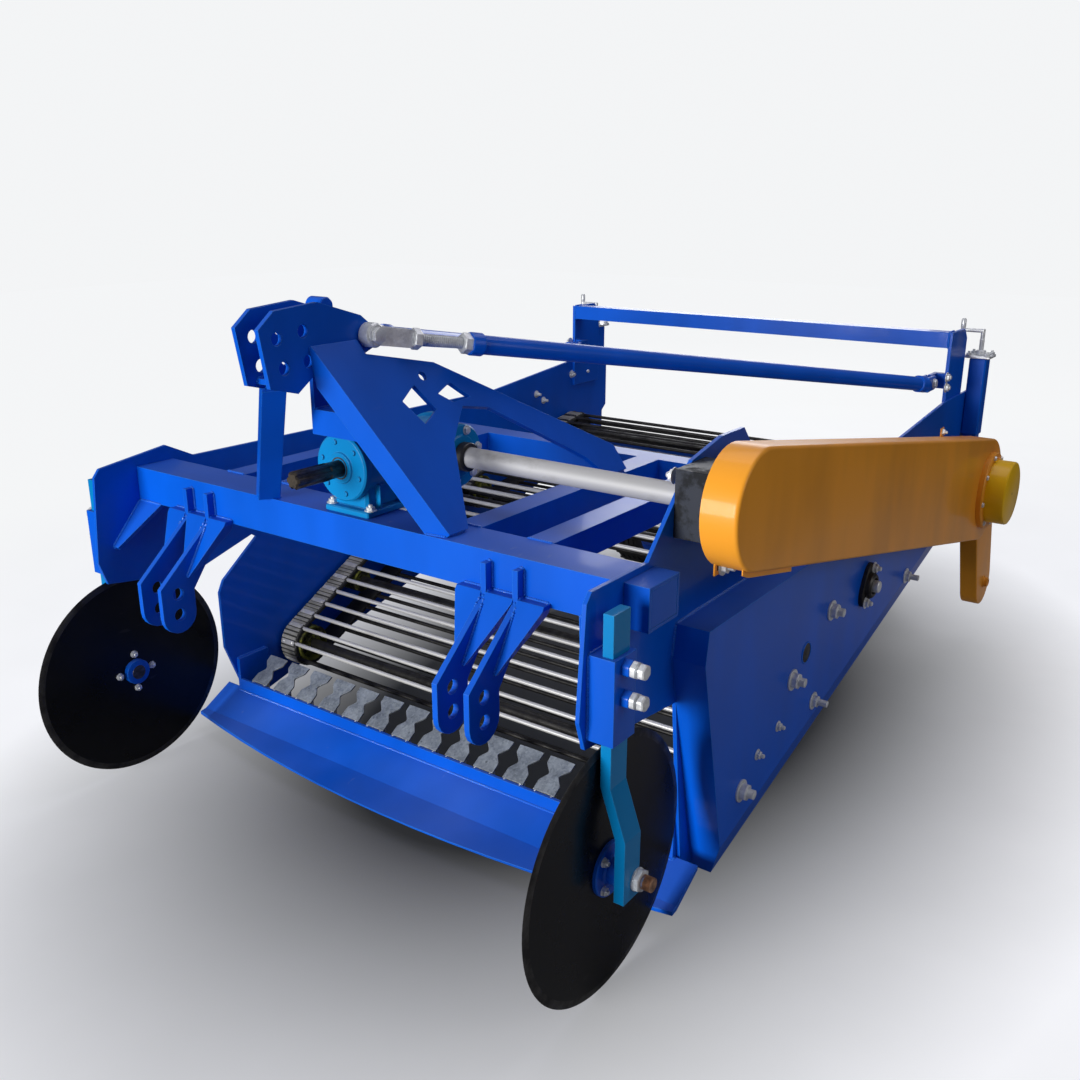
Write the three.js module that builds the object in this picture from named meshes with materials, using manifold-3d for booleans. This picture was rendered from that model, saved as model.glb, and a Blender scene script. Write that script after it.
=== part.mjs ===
// Tractor-mounted two-row potato digger: hitch, frame, side walls, share, rod webs, coulter discs,
// bevel gearbox, side shaft, chain case and rear depth wheels. Millimetres, +Z up, -Y forward.
import * as THREE from 'three';
import { mergeVertices } from 'three/addons/utils/BufferGeometryUtils.js';
import Module from 'manifold-3d';

const wasm = await Module();
wasm.setup();

// ---------------------------------------------------------------- driving dimensions
// Machine datum: X 0 is the centreline, Y 0 the front face of the front beam, Z 0 the floor.
const BEAM_TOP = 760;            // height of the frame's top face over the floor
const WALL_INNER = 667;          // half the clear width between the side walls
const WALL_THICK = 8;
const REAR_Y = 1790;             // rear web's drive shaft, which the rear end is built around
const GAP = 0.3;                 // gap between pieces that touch on curved or turned faces
const BORE_GAP = 0.5;            // running gap of a shaft in its bearing
const RUN_GAP = 5;               // gap between a turning piece and the next fixed face
const SINK = 1;                  // overlap that joins two shapes into one solid

const WALL_OUTER = WALL_INNER + WALL_THICK;

const BEAM_DEPTH = 100;
const BEAM_HEIGHT = 80;
const BEAM_WALL = 6;
const BEAM_BOTTOM = BEAM_TOP - BEAM_HEIGHT;
const BEAM_HALF = WALL_OUTER + 50; // the beam ends stand out past the side walls
const CORNER_DROP = 95;
const CORNER_RUN = 85;
const CORNER_WIDTH = 85;
const GUSSET_THICK = 8;

const RAIL_SIZE = 60;
const RAIL_INNER_X = 262;
const RAIL_OUTER_X = 432;
const CROSS_Y = 780;             // front face of the second cross member

const WALL_REAR = REAR_Y + 260;
const WALL_NOSE = [[-128, BEAM_TOP - 206], [-111, BEAM_TOP - 5], [-96, BEAM_TOP + 13]];
const WALL_CREST = [[84, BEAM_TOP + 36], [162, BEAM_TOP - 3]];
const WALL_TAIL = [[REAR_Y - 440, BEAM_TOP - 15], [REAR_Y + 10, BEAM_TOP + 28],
  [WALL_REAR, BEAM_TOP + 28], [WALL_REAR, BEAM_TOP - 165], [REAR_Y + 60, BEAM_TOP - 330]];
const WALL_SILL = [[300, 52], [250, 62]];
const WALL_THROAT = [[240, 108], [197, 227], [196, 381], [212, 412], [330, 502], [315, 512],
  [130, 460], [-110, 498]];
const WALL_CHIN = [[200, 460], [-110, 498]];

const CLEVIS_X = 428;            // centre of each lower hitch clevis
const CLEVIS_GAP = 60;
const CLEVIS_THICK = 12;
const CLEVIS_PIN = 14.5;         // radius of the category II pin holes
const CLEVIS_HALF = 42;          // half the width of the clevis plate's foot
const CLEVIS_AXIS_Y = -118;
const CLEVIS_UPPER_DROP = 222;   // pin holes below the beam's top face
const CLEVIS_LOWER_DROP = 270;
const CLEVIS_REACH = 20;         // the plates stand this far off the beam's front face
const CLEVIS_TOP_DROP = 18;
const GUSSET_DROP = 110;
const GUSSET_WIDTH = 58;
const GUSSET_REACH = 92;
const GUSSET_TIP = 6;

const MAST_GAP = 52;
const MAST_THICK = 10;
const MAST_PIN = 12.7;
const MAST_HOLES = [[-150, BEAM_TOP + 366], [-137, BEAM_TOP + 312], [-88, BEAM_TOP + 374],
  [-78, BEAM_TOP + 318]];
const MAST_OUTLINE = [[-190, BEAM_TOP + 385], [-152, BEAM_TOP + 415], [-50, BEAM_TOP + 423],
  [60, BEAM_TOP + 390], [100, BEAM_TOP + 360], [92, BEAM_TOP + 326], [40, BEAM_TOP + 306],
  [-70, BEAM_TOP + 288], [-108, BEAM_TOP + 262], [-172, BEAM_TOP + 279]];
const STAY_PIN_Y = 72;           // pin of the rear stays in the mast plates
const STAY_PIN_Z = BEAM_TOP + 352;
const LEG_FOOT = [-226, 16, BEAM_TOP - 20];
const LEG_HEAD = [-22, -117, BEAM_TOP + 274];
const LEG_WIDTH = 45;
const LEG_DEPTH = 32;
const MAST_SEAT = BEAM_TOP + 280; // underside of the plates that tie the two mast plates
const MAST_SEAT_Y = -108;
const MAST_BAR_Z = BEAM_TOP + 187;
const MAST_BAR_SIZE = 50;
const MAST_BAR_Y = 10;

const BRACKET_FOOT_X = 280;
const BRACKET_LEAN = 0.724;      // the bracket leans in this far for each unit of height
const BRACKET_THICK = 10;
const BRACKET_FLANGE = 40;
const BRACKET_EDGE = 10;
const BRACKET_FRONT = [[-76, 340], [12, 0]]; // Y and height over the frame of its front edge
const BRACKET_TOE = 66;
const BRACKET_ARCH = [[150, 140], [225, 195], [300, 182], [470, 78], [520, 46]];
const BRACKET_HEEL = [[560, 0], [640, 0], [640, 52], [210, 280], [44, 314], [40, 340]];
const BRACKET_SLOT = [[72, 225], [100, 180], [150, 200], [124, 248]];
const BRACKET_NOTCH = [[176, 225], [206, 205], [262, 208], [226, 240]];
const BRACKET_HOLE = [160, 260];
const BRACKET_HOLE_R = 10;

const PTO_X = 20;
const DRIVE_Z = BEAM_TOP + 98;   // height of the input shaft and the side shaft
const HOUSING_R = 62;
const HOUSING_FRONT = 0;
const HOUSING_BACK = 285;
const HOUSING_SIDE_R = 58;
const BASE_HALF = 60;
const BASE_START = 8;
const PTO_R = 18;
const PTO_REACH = 125;
const PTO_SEAT = 70;
const SPLINE_COUNT = 6;
const SPLINE_R = 3;
const SPLINE_END = 30;           // the splines stop this far in front of the housing
const SHAFT_Y = 218;
const SHAFT_R = 21;
const SHAFT_START = 95;
const OUTPUT_FACE = 146;         // outer face of the gearbox's side bearing flange
const OUTPUT_FLANGE = 20;
const OUTPUT_FLANGE_R = 66;
const SHAFT_IN_CASE = 12;

const DISC_R = 250;
const DISC_Y = -56;

const BOX_OUTER = WALL_OUTER + 70; // outer face of the side box that covers the right wall
const BOX_SHEET = 5;
const BOX_TOP = BEAM_TOP - 135;
const BOX_REAR = REAR_Y - 60;
const BOX_SETBACK = 106;         // from the disc's rear edge to the box's lower front corner
const BOX_FOOT = [DISC_Y + DISC_R + BOX_SETBACK, 46];
const BOX_SLOPE = 0.244;         // rise of the box's lower edge towards the rear
const BOX_FACE = [[BOX_FOOT[0] - 124, BEAM_TOP - 200], [BOX_FOOT[0] - 114, BOX_TOP]];
const BOX_LIP = 80;              // height of the sheet's foot, folded in towards the wall
const BOX_LIP_IN = 26;

const CASE_INNER = BOX_OUTER + 7;
const CASE_OUTER = CASE_INNER + 70;
const CASE_FRONT_R = 110;
const CASE_REAR_R = 150;
const CASE_REAR_Z = BEAM_TOP - 215;
const CASE_STUB_R = 40;
const ARM_TOP_Y = REAR_Y + 20;
const ARM_TOP_R = 87;
const ARM_END_Y = REAR_Y + 155;
const ARM_END_Z = 205;
const ARM_END_R = 62;
const ARM_STEP = 6;              // the arm's face lies this far inside the case's
const ARM_BOSS_R = 14;
const ARM_BOSS = 14;
const CAP_R = 92;
const CAP_RING_R = 112;
const CAP_RING = 16;
const CAP_REACH = 70;
const CAP_OUTER = CASE_OUTER + CAP_REACH;
const BEARING_HALF_Y = 55;
const BEARING_HALF_Z = 62;
const WALL_HUMP = [[-139, -86], [6, 65], [120, 89], [212, 89], [402, -110]]; // round the side shaft

const SHARE_HALF = WALL_OUTER + 45;
const SHARE_THICK = 10;
const SHARE_CREASE = [155, 52];  // Y, Z of the fold between the cutting edge and the ramp
const SHARE_REAR = [238, 98];
const SHARE_CENTRE_Y = 72;
const SHARE_END_Y = 138;
const SHARE_EDGE_Z = 38;
const SHARE_EDGE = 4;
const SHARE_UPSTAND = 28;
const SHARE_UPSTAND_THICK = 8;
const SHARE_CHEEK = [10, 90, 86]; // thickness, length and height of the plates bolted to the walls
const SHARE_EDGE_STEPS = 14;
const FINGER_PITCH = 70;
const FINGER_COUNT = Math.floor(2 * (WALL_INNER - 20) / FINGER_PITCH);
const FINGER_LENGTH = 88;
const FINGER_WIDTH = 44;
const FINGER_WAIST = 0.45;
const FINGER_THICK = 4;
const FINGER_LEAN = 32;          // degrees the fingers rise towards the web
const FINGER_STRIP = [12, 24];   // depth and height of the strip that holds the fingers

const WEB_PITCH = 50;
const ROD_R = 5.5;
const BELT_THICK = 12;
const BELT_WIDTH = 60;
const WEB_SIDE_GAP = 6;          // between a belt's edge and the side wall
const ROD_INSET = 10;            // a rod's end lies this far inside the belt's edge
const FRONT_IDLER = { y: 440, z: 172, r: 52 };
const DRIVE_ROLLER = { y: 1030, z: BEAM_TOP - 293, r: 66 };
const REAR_WEB_FRONT = { y: 1204, z: BEAM_TOP - 312, r: 48 };
const REAR_WEB_DRIVE = { y: REAR_Y, z: CASE_REAR_Z, r: 48 };
const IDLER_R = 34;
const IDLER_SHARES = [0.36, 0.68]; // places of the two idler shafts along the front web's top run
const AXLE_R = 14;
const DRUM_GAP = 0.4;            // keeps the facets of a drum inside the belt's facets

const DISC_X = WALL_OUTER + 15;
const DISC_THICK = 5;
const HUB_R = 27;
const HUB_LENGTH = 32;
const HUB_BACK = 14;
const HUB_FLANGE_R = 52;
const HUB_FLANGE = 8;
const COULTER_AXLE_R = 12;
const SHANK_THICK = 20;
const SHANK_DEPTH = 50;
const SHANK_Y = -72;
const SHANK_TOP = BEAM_TOP - 18;
const SHANK_BEND_TOP = BEAM_TOP - 328;
const SHANK_BEND_LOW = BEAM_TOP - 420;
const SHANK_FOOT = 32;           // the shank's foot reaches this far below the axle
const SHANK_X = WALL_OUTER + 33; // centre of the shank where it passes the sleeve
const SHANK_NUT_R = 19;
const SHANK_NUT = 12;
const AXLE_END = 18;             // the axle's thread stands this far out of the shank
const SLEEVE_TOP = BEAM_TOP - 92;
const SLEEVE_CLEAR = 15;         // between the disc's top and the sleeve
const SLEEVE_BOTTOM = 2 * DISC_R + SLEEVE_CLEAR;
const SLEEVE_WALL = 8;
const SHANK_LOW_X = DISC_X + DISC_THICK / 2 + HUB_LENGTH + RUN_GAP + SHANK_THICK / 2;
const COULTER_OUTER = SHANK_LOW_X + SHANK_THICK / 2 + AXLE_END;

const POST_THICK = 10;
const POST_FRONT = REAR_Y + 30;
const POST_REAR = REAR_Y + 188;
const POST_TOP = BEAM_TOP + 225;
const POST_FOOT = BEAM_TOP - 60;
const POST_CHAMFER = 30;
const REAR_BAR = 45;
const LUG_THICK = 12;
const LUG_X = WALL_INNER - POST_THICK - 33;
const LUG_Z = BEAM_TOP + 82;
const LUG_PIN_Y = POST_FRONT - 14;
const LUG_HALF = 22;
const LUG_BACK = 30;
const LUG_PIN = 10;
const STAY_R = 20;
const STAY_EYE_R = 24;
const STAY_EYE = 28;
const STAY_FORK = [28, 36];      // width and depth of the fork's bar
const STAY_FORK_END = 0.045;     // places along the stay, as shares of its length
const STAY_THREAD = [0.03, 0.13];
const STAY_NUT = [0.1, 0.114];
const STAY_TUBE_START = 0.125;
const STAY_THREAD_R = 12;
const STAY_NUT_R = 20;
const STAY_CHEEK = 11;
const STAY_BRIDGE = 22;

const SCREW_TUBE = 50;
const SCREW_X = WALL_OUTER + SCREW_TUBE / 2;
const SCREW_Y = REAR_Y + 235;
const SCREW_TOP = BEAM_TOP + 133;
const SCREW_BOTTOM = BEAM_TOP - 105;
const SCREW_FLANGE = 74;
const SCREW_FLANGE_THICK = 8;
const CRANK_R = 6;
const CRANK_RISE = 72;
const CRANK_REACH = 60;
const CRANK_GRIP = 34;
const LEG_TUBE = 40;
const AXLE_TUBE = 50;
const WHEEL_R = 200;
const WHEEL_CLEAR = 15;          // between the wheel's top and the cross axle
const WHEEL_WIDTH = 110;
const WHEEL_X = 440;
const WHEEL_RIM = 42;
const WHEEL_DISH = 40;
const WHEEL_HUB_R = 38;
const WHEEL_HUB_OUT = 10;        // the hub stands this far out of the rim on both sides
const WHEEL_AXLE_R = 15;
const AXLE_TUBE_LOW = 2 * WHEEL_R + WHEEL_CLEAR;
const ARM_THICK = 12;
const ARM_DEPTH = 70;
const ARM_BELOW = 35;            // the wheel arm reaches this far below the wheel's centre
const ARM_COLLAR_R = 30;

const ROUND = 32;                // facets of a large round piece
const SMALL_ROUND = 16;          // facets of a pin, hole or rod end
const ROD_ROUND = 8;
const HEX = 6;
const DISC_ROUND = 48;
const LONG = 3000;               // reach of a cutting shape past the whole machine

const CENTRE_X = -(CAP_OUTER - COULTER_OUTER) / 2;
const CENTRE_Y = -((DISC_Y - DISC_R) + (SCREW_Y + WHEEL_R)) / 2;

// ---------------------------------------------------------------- finishes
function finish(color, roughness, metalness) {
  return new THREE.MeshStandardMaterial({ color, roughness, metalness });
}

const BLUE = finish(0x0a50e0, 0.35, 0.1);
const NAVY = finish(0x0a2f8c, 0.35, 0.1);
const SKY = finish(0x1f9be8, 0.4, 0.1);
const YELLOW = finish(0xf2a01c, 0.4, 0.05);
const STEEL = finish(0xb9bcc0, 0.35, 0.9);
const DARK = finish(0x33363a, 0.5, 0.7);
const GLOSS_BLACK = finish(0x0a0b0c, 0.15, 0.3);
const RUBBER = finish(0x1b1b1b, 0.85, 0.0);
const OLIVE = finish(0x8c8a3a, 0.6, 0.1);

// ---------------------------------------------------------------- solid helpers
function solid(geometry) {
  const bare = geometry.index ? geometry.toNonIndexed() : geometry.clone();
  bare.deleteAttribute('normal');
  bare.deleteAttribute('uv');
  const merged = mergeVertices(bare, 1e-4);
  return new wasm.Manifold(new wasm.Mesh({
    numProp: 3,
    vertProperties: new Float32Array(merged.attributes.position.array),
    triVerts: new Uint32Array(merged.index.array),
  }));
}

function geometryOf(body) {
  const mesh = body.getMesh();
  const geometry = new THREE.BufferGeometry();
  geometry.setAttribute('position', new THREE.BufferAttribute(mesh.vertProperties, 3));
  geometry.setIndex(new THREE.BufferAttribute(mesh.triVerts, 1));
  geometry.computeVertexNormals();
  return geometry;
}

function union(pieces) {
  return pieces.reduce((whole, piece) => whole.add(piece));
}

function cut(body, tools) {
  return tools.reduce((rest, tool) => rest.subtract(tool), body);
}

function outline(points) {
  return new THREE.Shape(points.map(([a, b]) => new THREE.Vector2(a, b)));
}

// A closed outline given as [y, z] points, carried along X from x0 to x1.
function plateX(points, x0, x1) {
  const shape = outline(points);
  const geometry = new THREE.ExtrudeGeometry(shape, { depth: x1 - x0, bevelEnabled: false, steps: 1 });
  const turn = new THREE.Matrix4().makeBasis(
    new THREE.Vector3(0, 1, 0), new THREE.Vector3(0, 0, 1), new THREE.Vector3(1, 0, 0));
  geometry.applyMatrix4(turn);
  geometry.translate(x0, 0, 0);
  return solid(geometry);
}

// A closed outline given as [z, x] points, carried along Y from y0 to y1.
function plateY(points, y0, y1) {
  const shape = outline(points);
  const geometry = new THREE.ExtrudeGeometry(shape, { depth: y1 - y0, bevelEnabled: false, steps: 1 });
  const turn = new THREE.Matrix4().makeBasis(
    new THREE.Vector3(0, 0, 1), new THREE.Vector3(1, 0, 0), new THREE.Vector3(0, 1, 0));
  geometry.applyMatrix4(turn);
  geometry.translate(0, y0, 0);
  return solid(geometry);
}

// A closed outline given as [x, y] points, carried up from z0 to z1.
function plateZ(points, z0, z1) {
  const geometry = new THREE.ExtrudeGeometry(outline(points),
    { depth: z1 - z0, bevelEnabled: false, steps: 1 });
  geometry.translate(0, 0, z0);
  return solid(geometry);
}

function block(x0, x1, y0, y1, z0, z1) {
  const geometry = new THREE.BoxGeometry(x1 - x0, y1 - y0, z1 - z0);
  geometry.translate((x0 + x1) / 2, (y0 + y1) / 2, (z0 + z1) / 2);
  return solid(geometry);
}

function roundX(radius, x0, x1, y, z, facets = ROUND) {
  const geometry = new THREE.CylinderGeometry(radius, radius, x1 - x0, facets);
  geometry.rotateZ(-Math.PI / 2);
  geometry.translate((x0 + x1) / 2, y, z);
  return solid(geometry);
}

function roundY(radius, y0, y1, x, z, facets = ROUND) {
  const geometry = new THREE.CylinderGeometry(radius, radius, y1 - y0, facets);
  geometry.translate(x, (y0 + y1) / 2, z);
  return solid(geometry);
}

function roundZ(radius, z0, z1, x, y, facets = ROUND) {
  const geometry = new THREE.CylinderGeometry(radius, radius, z1 - z0, facets);
  geometry.rotateX(Math.PI / 2);
  geometry.translate(x, y, (z0 + z1) / 2);
  return solid(geometry);
}

// A straight bar from one point to another: its section is width (level) by depth (across that).
function barBetween(start, end, width, depth) {
  const from = new THREE.Vector3(...start);
  const to = new THREE.Vector3(...end);
  const along = to.clone().sub(from);
  const length = along.length();
  along.normalize();
  const level = new THREE.Vector3(0, 0, 1).cross(along);
  level.normalize();
  const across = along.clone().cross(level);
  const geometry = new THREE.BoxGeometry(width, depth, length);
  geometry.applyMatrix4(new THREE.Matrix4().makeBasis(level, across, along));
  const middle = from.add(to).multiplyScalar(0.5);
  geometry.translate(middle.x, middle.y, middle.z);
  return solid(geometry);
}

function rodBetween(start, end, radius, facets = SMALL_ROUND) {
  const from = new THREE.Vector3(...start);
  const to = new THREE.Vector3(...end);
  const along = to.clone().sub(from);
  const geometry = new THREE.CylinderGeometry(radius, radius, along.length(), facets);
  const up = new THREE.Vector3(0, 1, 0);
  geometry.applyQuaternion(new THREE.Quaternion().setFromUnitVectors(up, along.clone().normalize()));
  const middle = from.add(to).multiplyScalar(0.5);
  geometry.translate(middle.x, middle.y, middle.z);
  return solid(geometry);
}

// Points of an arc in the [y, z] plane, from one angle to another, in degrees.
function arc(y, z, radius, from, to, steps) {
  const points = [];
  for (let i = 0; i <= steps; i += 1) {
    const angle = THREE.MathUtils.degToRad(from + (to - from) * i / steps);
    points.push([y + radius * Math.cos(angle), z + radius * Math.sin(angle)]);
  }
  return points;
}

// The outline of a belt around two rollers: arcs joined by their outer tangents, anticlockwise.
function beltOutline(front, back, extra, steps = 14) {
  const dy = back.y - front.y;
  const dz = back.z - front.z;
  const lean = Math.atan2(dz, dy);
  const spread = Math.asin((front.r - back.r) / Math.hypot(dy, dz));
  const side = THREE.MathUtils.radToDeg(lean);
  const open = 90 - THREE.MathUtils.radToDeg(spread);
  return [
    ...arc(back.y, back.z, back.r + extra, side - open, side + open, steps),
    ...arc(front.y, front.z, front.r + extra, side + open, side + 360 - open, steps),
  ];
}

// Most pieces on the left are the right ones mirrored.
function mirrorX(body) {
  return body.mirror([1, 0, 0]);
}

// ---------------------------------------------------------------- frame
// A sloping corner gusset under the beam, beside the right wall.
function cornerGusset() {
  const start = WALL_INNER - CORNER_WIDTH;
  const foot = BEAM_BOTTOM - CORNER_DROP;
  const slab = plateX([
    [0, BEAM_BOTTOM],
    [-CORNER_RUN, foot],
    [-CORNER_RUN + GUSSET_THICK, foot - GUSSET_THICK],
    [2 * GUSSET_THICK, BEAM_BOTTOM],
    [2 * GUSSET_THICK, BEAM_BOTTOM + SINK],
    [0, BEAM_BOTTOM + SINK],
  ], start, WALL_INNER);
  const taper = plateY([
    [BEAM_BOTTOM + GUSSET_THICK, start],
    [BEAM_BOTTOM + GUSSET_THICK, WALL_INNER + SINK],
    [foot - 2 * GUSSET_THICK, WALL_INNER + SINK],
    [foot - 2 * GUSSET_THICK, WALL_INNER - GUSSET_THICK],
  ], -CORNER_RUN - SINK, BEAM_DEPTH);
  return slab.intersect(taper);
}

function frontBeam() {
  const tube = block(-BEAM_HALF, BEAM_HALF, 0, BEAM_DEPTH, BEAM_BOTTOM, BEAM_TOP);
  const bore = block(-BEAM_HALF - SINK, BEAM_HALF + SINK, BEAM_WALL, BEAM_DEPTH - BEAM_WALL,
    BEAM_BOTTOM + BEAM_WALL, BEAM_TOP - BEAM_WALL);
  const corner = cornerGusset();
  return union([cut(tube, [bore]), corner, mirrorX(corner)]);
}

function topFrame() {
  const low = BEAM_TOP - RAIL_SIZE;
  const rails = [-RAIL_OUTER_X, -RAIL_INNER_X, RAIL_INNER_X, RAIL_OUTER_X].map((x) => block(
    x - RAIL_SIZE / 2, x + RAIL_SIZE / 2, BEAM_DEPTH, CROSS_Y, low, BEAM_TOP));
  const cross = block(-WALL_INNER, WALL_INNER, CROSS_Y, CROSS_Y + RAIL_SIZE, low, BEAM_TOP);
  return union([cross, ...rails]);
}

function beamWindow() {
  return block(-BEAM_HALF, BEAM_HALF, -GAP, BEAM_DEPTH + GAP, BEAM_BOTTOM - GAP, BEAM_TOP + GAP);
}

function leftWall() {
  const points = [...WALL_NOSE, ...WALL_CREST, ...WALL_TAIL, ...WALL_SILL, ...WALL_THROAT];
  return cut(plateX(points, -WALL_OUTER, -WALL_INNER), [beamWindow()]);
}

// The right wall rises into a hump that carries the side shaft's bearing.
function rightWall() {
  const hump = WALL_HUMP.map(([y, z]) => [SHAFT_Y + y, DRIVE_Z + z]);
  const points = [...WALL_NOSE, ...hump, ...WALL_TAIL, ...WALL_SILL, ...WALL_CHIN];
  const bearing = roundX(SHAFT_R + RUN_GAP, WALL_INNER - SINK, WALL_OUTER + SINK, SHAFT_Y, DRIVE_Z);
  return cut(plateX(points, WALL_INNER, WALL_OUTER), [beamWindow(), bearing]);
}

// A closed outline moved in by a distance, each corner kept where its two edges meet.
function insetOutline(points, distance) {
  const count = points.length;
  const area = points.reduce((sum, [a, b], i) => {
    const [c, d] = points[(i + 1) % count];
    return sum + a * d - c * b;
  }, 0);
  const side = Math.sign(area);
  const normal = ([a, b], [c, d]) => {
    const length = Math.hypot(c - a, d - b);
    return [-side * (d - b) / length, side * (c - a) / length];
  };
  return points.map((point, i) => {
    const before = normal(points[(i + count - 1) % count], point);
    const after = normal(point, points[(i + 1) % count]);
    const scale = distance / (1 + before[0] * after[0] + before[1] * after[1]);
    return [point[0] + scale * (before[0] + after[0]), point[1] + scale * (before[1] + after[1])];
  });
}

// The side box as a full solid, drawn in from its outer skin: its sheet leans in below the fold.
function boxBody(inset) {
  const [footY, footZ] = BOX_FOOT;
  const rearZ = footZ + BOX_SLOPE * (BOX_REAR - footY);
  const side = [BOX_FOOT, ...BOX_FACE, [BOX_REAR, BOX_TOP], [BOX_REAR, rearZ]];
  const body = plateX(insetOutline(side, inset), WALL_OUTER - (inset > 0 ? SINK : 0), BOX_OUTER - inset);
  const fold = BOX_OUTER - inset;
  const wedge = plateY([[BOX_LIP, fold], [-BOX_LIP, fold - 2 * BOX_LIP_IN], [-BOX_LIP, fold + SINK],
    [BOX_LIP, fold + SINK]], -LONG, LONG);
  const slope = THREE.MathUtils.radToDeg(Math.atan(BOX_SLOPE));
  return cut(body, [wedge.rotate([slope, 0, 0]).translate([0, footY, footZ])]);
}

function sideBox() {
  return cut(boxBody(0), [boxBody(BOX_SHEET)]);
}

// ---------------------------------------------------------------- hitch
function clevisPlate(x0) {
  const axis = CLEVIS_AXIS_Y;
  const lower = BEAM_TOP - CLEVIS_LOWER_DROP;
  const upper = BEAM_TOP - CLEVIS_UPPER_DROP;
  const points = [
    [0, BEAM_TOP - CLEVIS_TOP_DROP],
    [-CLEVIS_REACH, BEAM_TOP - CLEVIS_TOP_DROP],
    [-CLEVIS_REACH, BEAM_BOTTOM],
    [axis - CLEVIS_HALF, upper + CLEVIS_REACH],
    ...arc(axis, lower, CLEVIS_HALF, 180, 360, 10),
    [axis + CLEVIS_HALF, upper],
    [0, BEAM_BOTTOM - CLEVIS_HALF],
  ];
  const plate = plateX(points, x0, x0 + CLEVIS_THICK);
  const pins = [upper, lower].map(
    (z) => roundX(CLEVIS_PIN, x0 - SINK, x0 + CLEVIS_THICK + SINK, axis, z, SMALL_ROUND));
  return cut(plate, pins);
}

// A sloping triangular gusset from the beam's lower edge down to one face of a clevis plate.
function clevisGusset(x, side, width) {
  const foot = BEAM_BOTTOM - GUSSET_DROP;
  const head = BEAM_BOTTOM + GUSSET_THICK;
  const slab = plateX([
    [0, head],
    [-CLEVIS_REACH, head],
    [-GUSSET_REACH, foot],
    [GUSSET_THICK - GUSSET_REACH, foot],
    [0, BEAM_BOTTOM - 2 * GUSSET_THICK],
  ], Math.min(x, x + side * width), Math.max(x, x + side * width));
  const taper = plateY([
    [head + SINK, x],
    [foot - SINK, x],
    [foot - SINK, x + side * GUSSET_TIP],
    [BEAM_BOTTOM, x + side * width],
    [head + SINK, x + side * width],
  ], -LONG, LONG);
  return slab.intersect(taper);
}

function lowerHitch() {
  const leftX = CLEVIS_X - CLEVIS_GAP / 2 - CLEVIS_THICK;
  const rightX = CLEVIS_X + CLEVIS_GAP / 2;
  return union([
    clevisPlate(leftX),
    clevisPlate(rightX),
    clevisGusset(leftX + SINK, -1, GUSSET_WIDTH),
    clevisGusset(leftX + CLEVIS_THICK - SINK, 1, CLEVIS_GAP + 2 * SINK),
    clevisGusset(rightX + CLEVIS_THICK - SINK, 1, GUSSET_WIDTH),
  ]);
}

function mastPlate(x0) {
  const plate = plateX(MAST_OUTLINE, x0, x0 + MAST_THICK);
  const holes = [...MAST_HOLES, [STAY_PIN_Y, STAY_PIN_Z]].map(
    ([y, z]) => roundX(MAST_PIN, x0 - SINK, x0 + MAST_THICK + SINK, y, z, SMALL_ROUND));
  return cut(plate, holes);
}

// Everything over the frame, so that slanting feet end flat on its top face.
function aboveFrame() {
  return block(-LONG, LONG, -LONG, LONG, BEAM_TOP, BEAM_TOP + LONG);
}

// The bracket's inner face at a height.
function bracketFaceX(z) {
  return BRACKET_FOOT_X - BRACKET_LEAN * (z - BEAM_TOP);
}

// The top-link plates on their slanting left leg, with the bar that ties them to the bracket.
function hitchMast() {
  const inner = MAST_GAP / 2;
  const outer = inner + MAST_THICK;
  const leg = barBetween(LEG_FOOT, LEG_HEAD, LEG_WIDTH, LEG_DEPTH);
  const cap = block(-outer, outer, LEG_HEAD[1] - LEG_DEPTH, MAST_SEAT_Y, MAST_SEAT, MAST_SEAT + MAST_THICK);
  const half = MAST_BAR_SIZE / 2;
  const spacer = block(-outer, outer, MAST_BAR_Y - half, MAST_BAR_Y + half, MAST_SEAT + MAST_THICK,
    MAST_SEAT + 2 * MAST_THICK);
  const low = MAST_BAR_Z - half;
  const high = MAST_BAR_Z + half;
  const bar = plateY([[low, -outer], [low, bracketFaceX(low) - GAP], [high, bracketFaceX(high) - GAP],
    [high, -outer]], MAST_BAR_Y - half, MAST_BAR_Y + half);
  const tongue = block(-outer, -inner, MAST_BAR_Y - half, MAST_BAR_Y + half, low, MAST_SEAT + 2 * MAST_THICK);
  return union([mastPlate(-outer), mastPlate(inner), leg, cap, spacer, bar, tongue])
    .intersect(aboveFrame());
}

// The leaning bracket beside the gearbox: an arched plate with two windows and a front flange.
function mastBracket() {
  const slope = Math.hypot(1, BRACKET_LEAN);
  const onPlate = (points) => points.map(([y, rise]) => [y, rise * slope]);
  const through = (points) => plateX(onPlate(points), -SINK, BRACKET_THICK + SINK);
  const edge = onPlate([...BRACKET_FRONT, [BRACKET_TOE, 0], ...BRACKET_ARCH, ...BRACKET_HEEL]);
  const plate = plateX(edge, 0, BRACKET_THICK);
  const [holeY, holeRise] = BRACKET_HOLE;
  const hole = roundX(BRACKET_HOLE_R, -SINK, BRACKET_THICK + SINK, holeY, holeRise * slope, SMALL_ROUND);
  const [head, foot] = BRACKET_FRONT;
  const strip = [head, foot, [foot[0] + BRACKET_EDGE, foot[1]], [head[0] + BRACKET_EDGE, head[1]]];
  const flange = plateX(onPlate(strip), -BRACKET_FLANGE, BRACKET_THICK);
  const flat = union([cut(plate, [through(BRACKET_SLOT), through(BRACKET_NOTCH), hole]), flange]);
  const angle = THREE.MathUtils.radToDeg(Math.atan(BRACKET_LEAN));
  const leaning = flat.rotate([0, -angle, 0]).translate([BRACKET_FOOT_X, 0, BEAM_TOP]);
  const mastFace = MAST_GAP / 2 + MAST_THICK + GAP;
  return leaning.intersect(aboveFrame()).intersect(block(mastFace, LONG, -LONG, LONG, 0, LONG));
}

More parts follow.
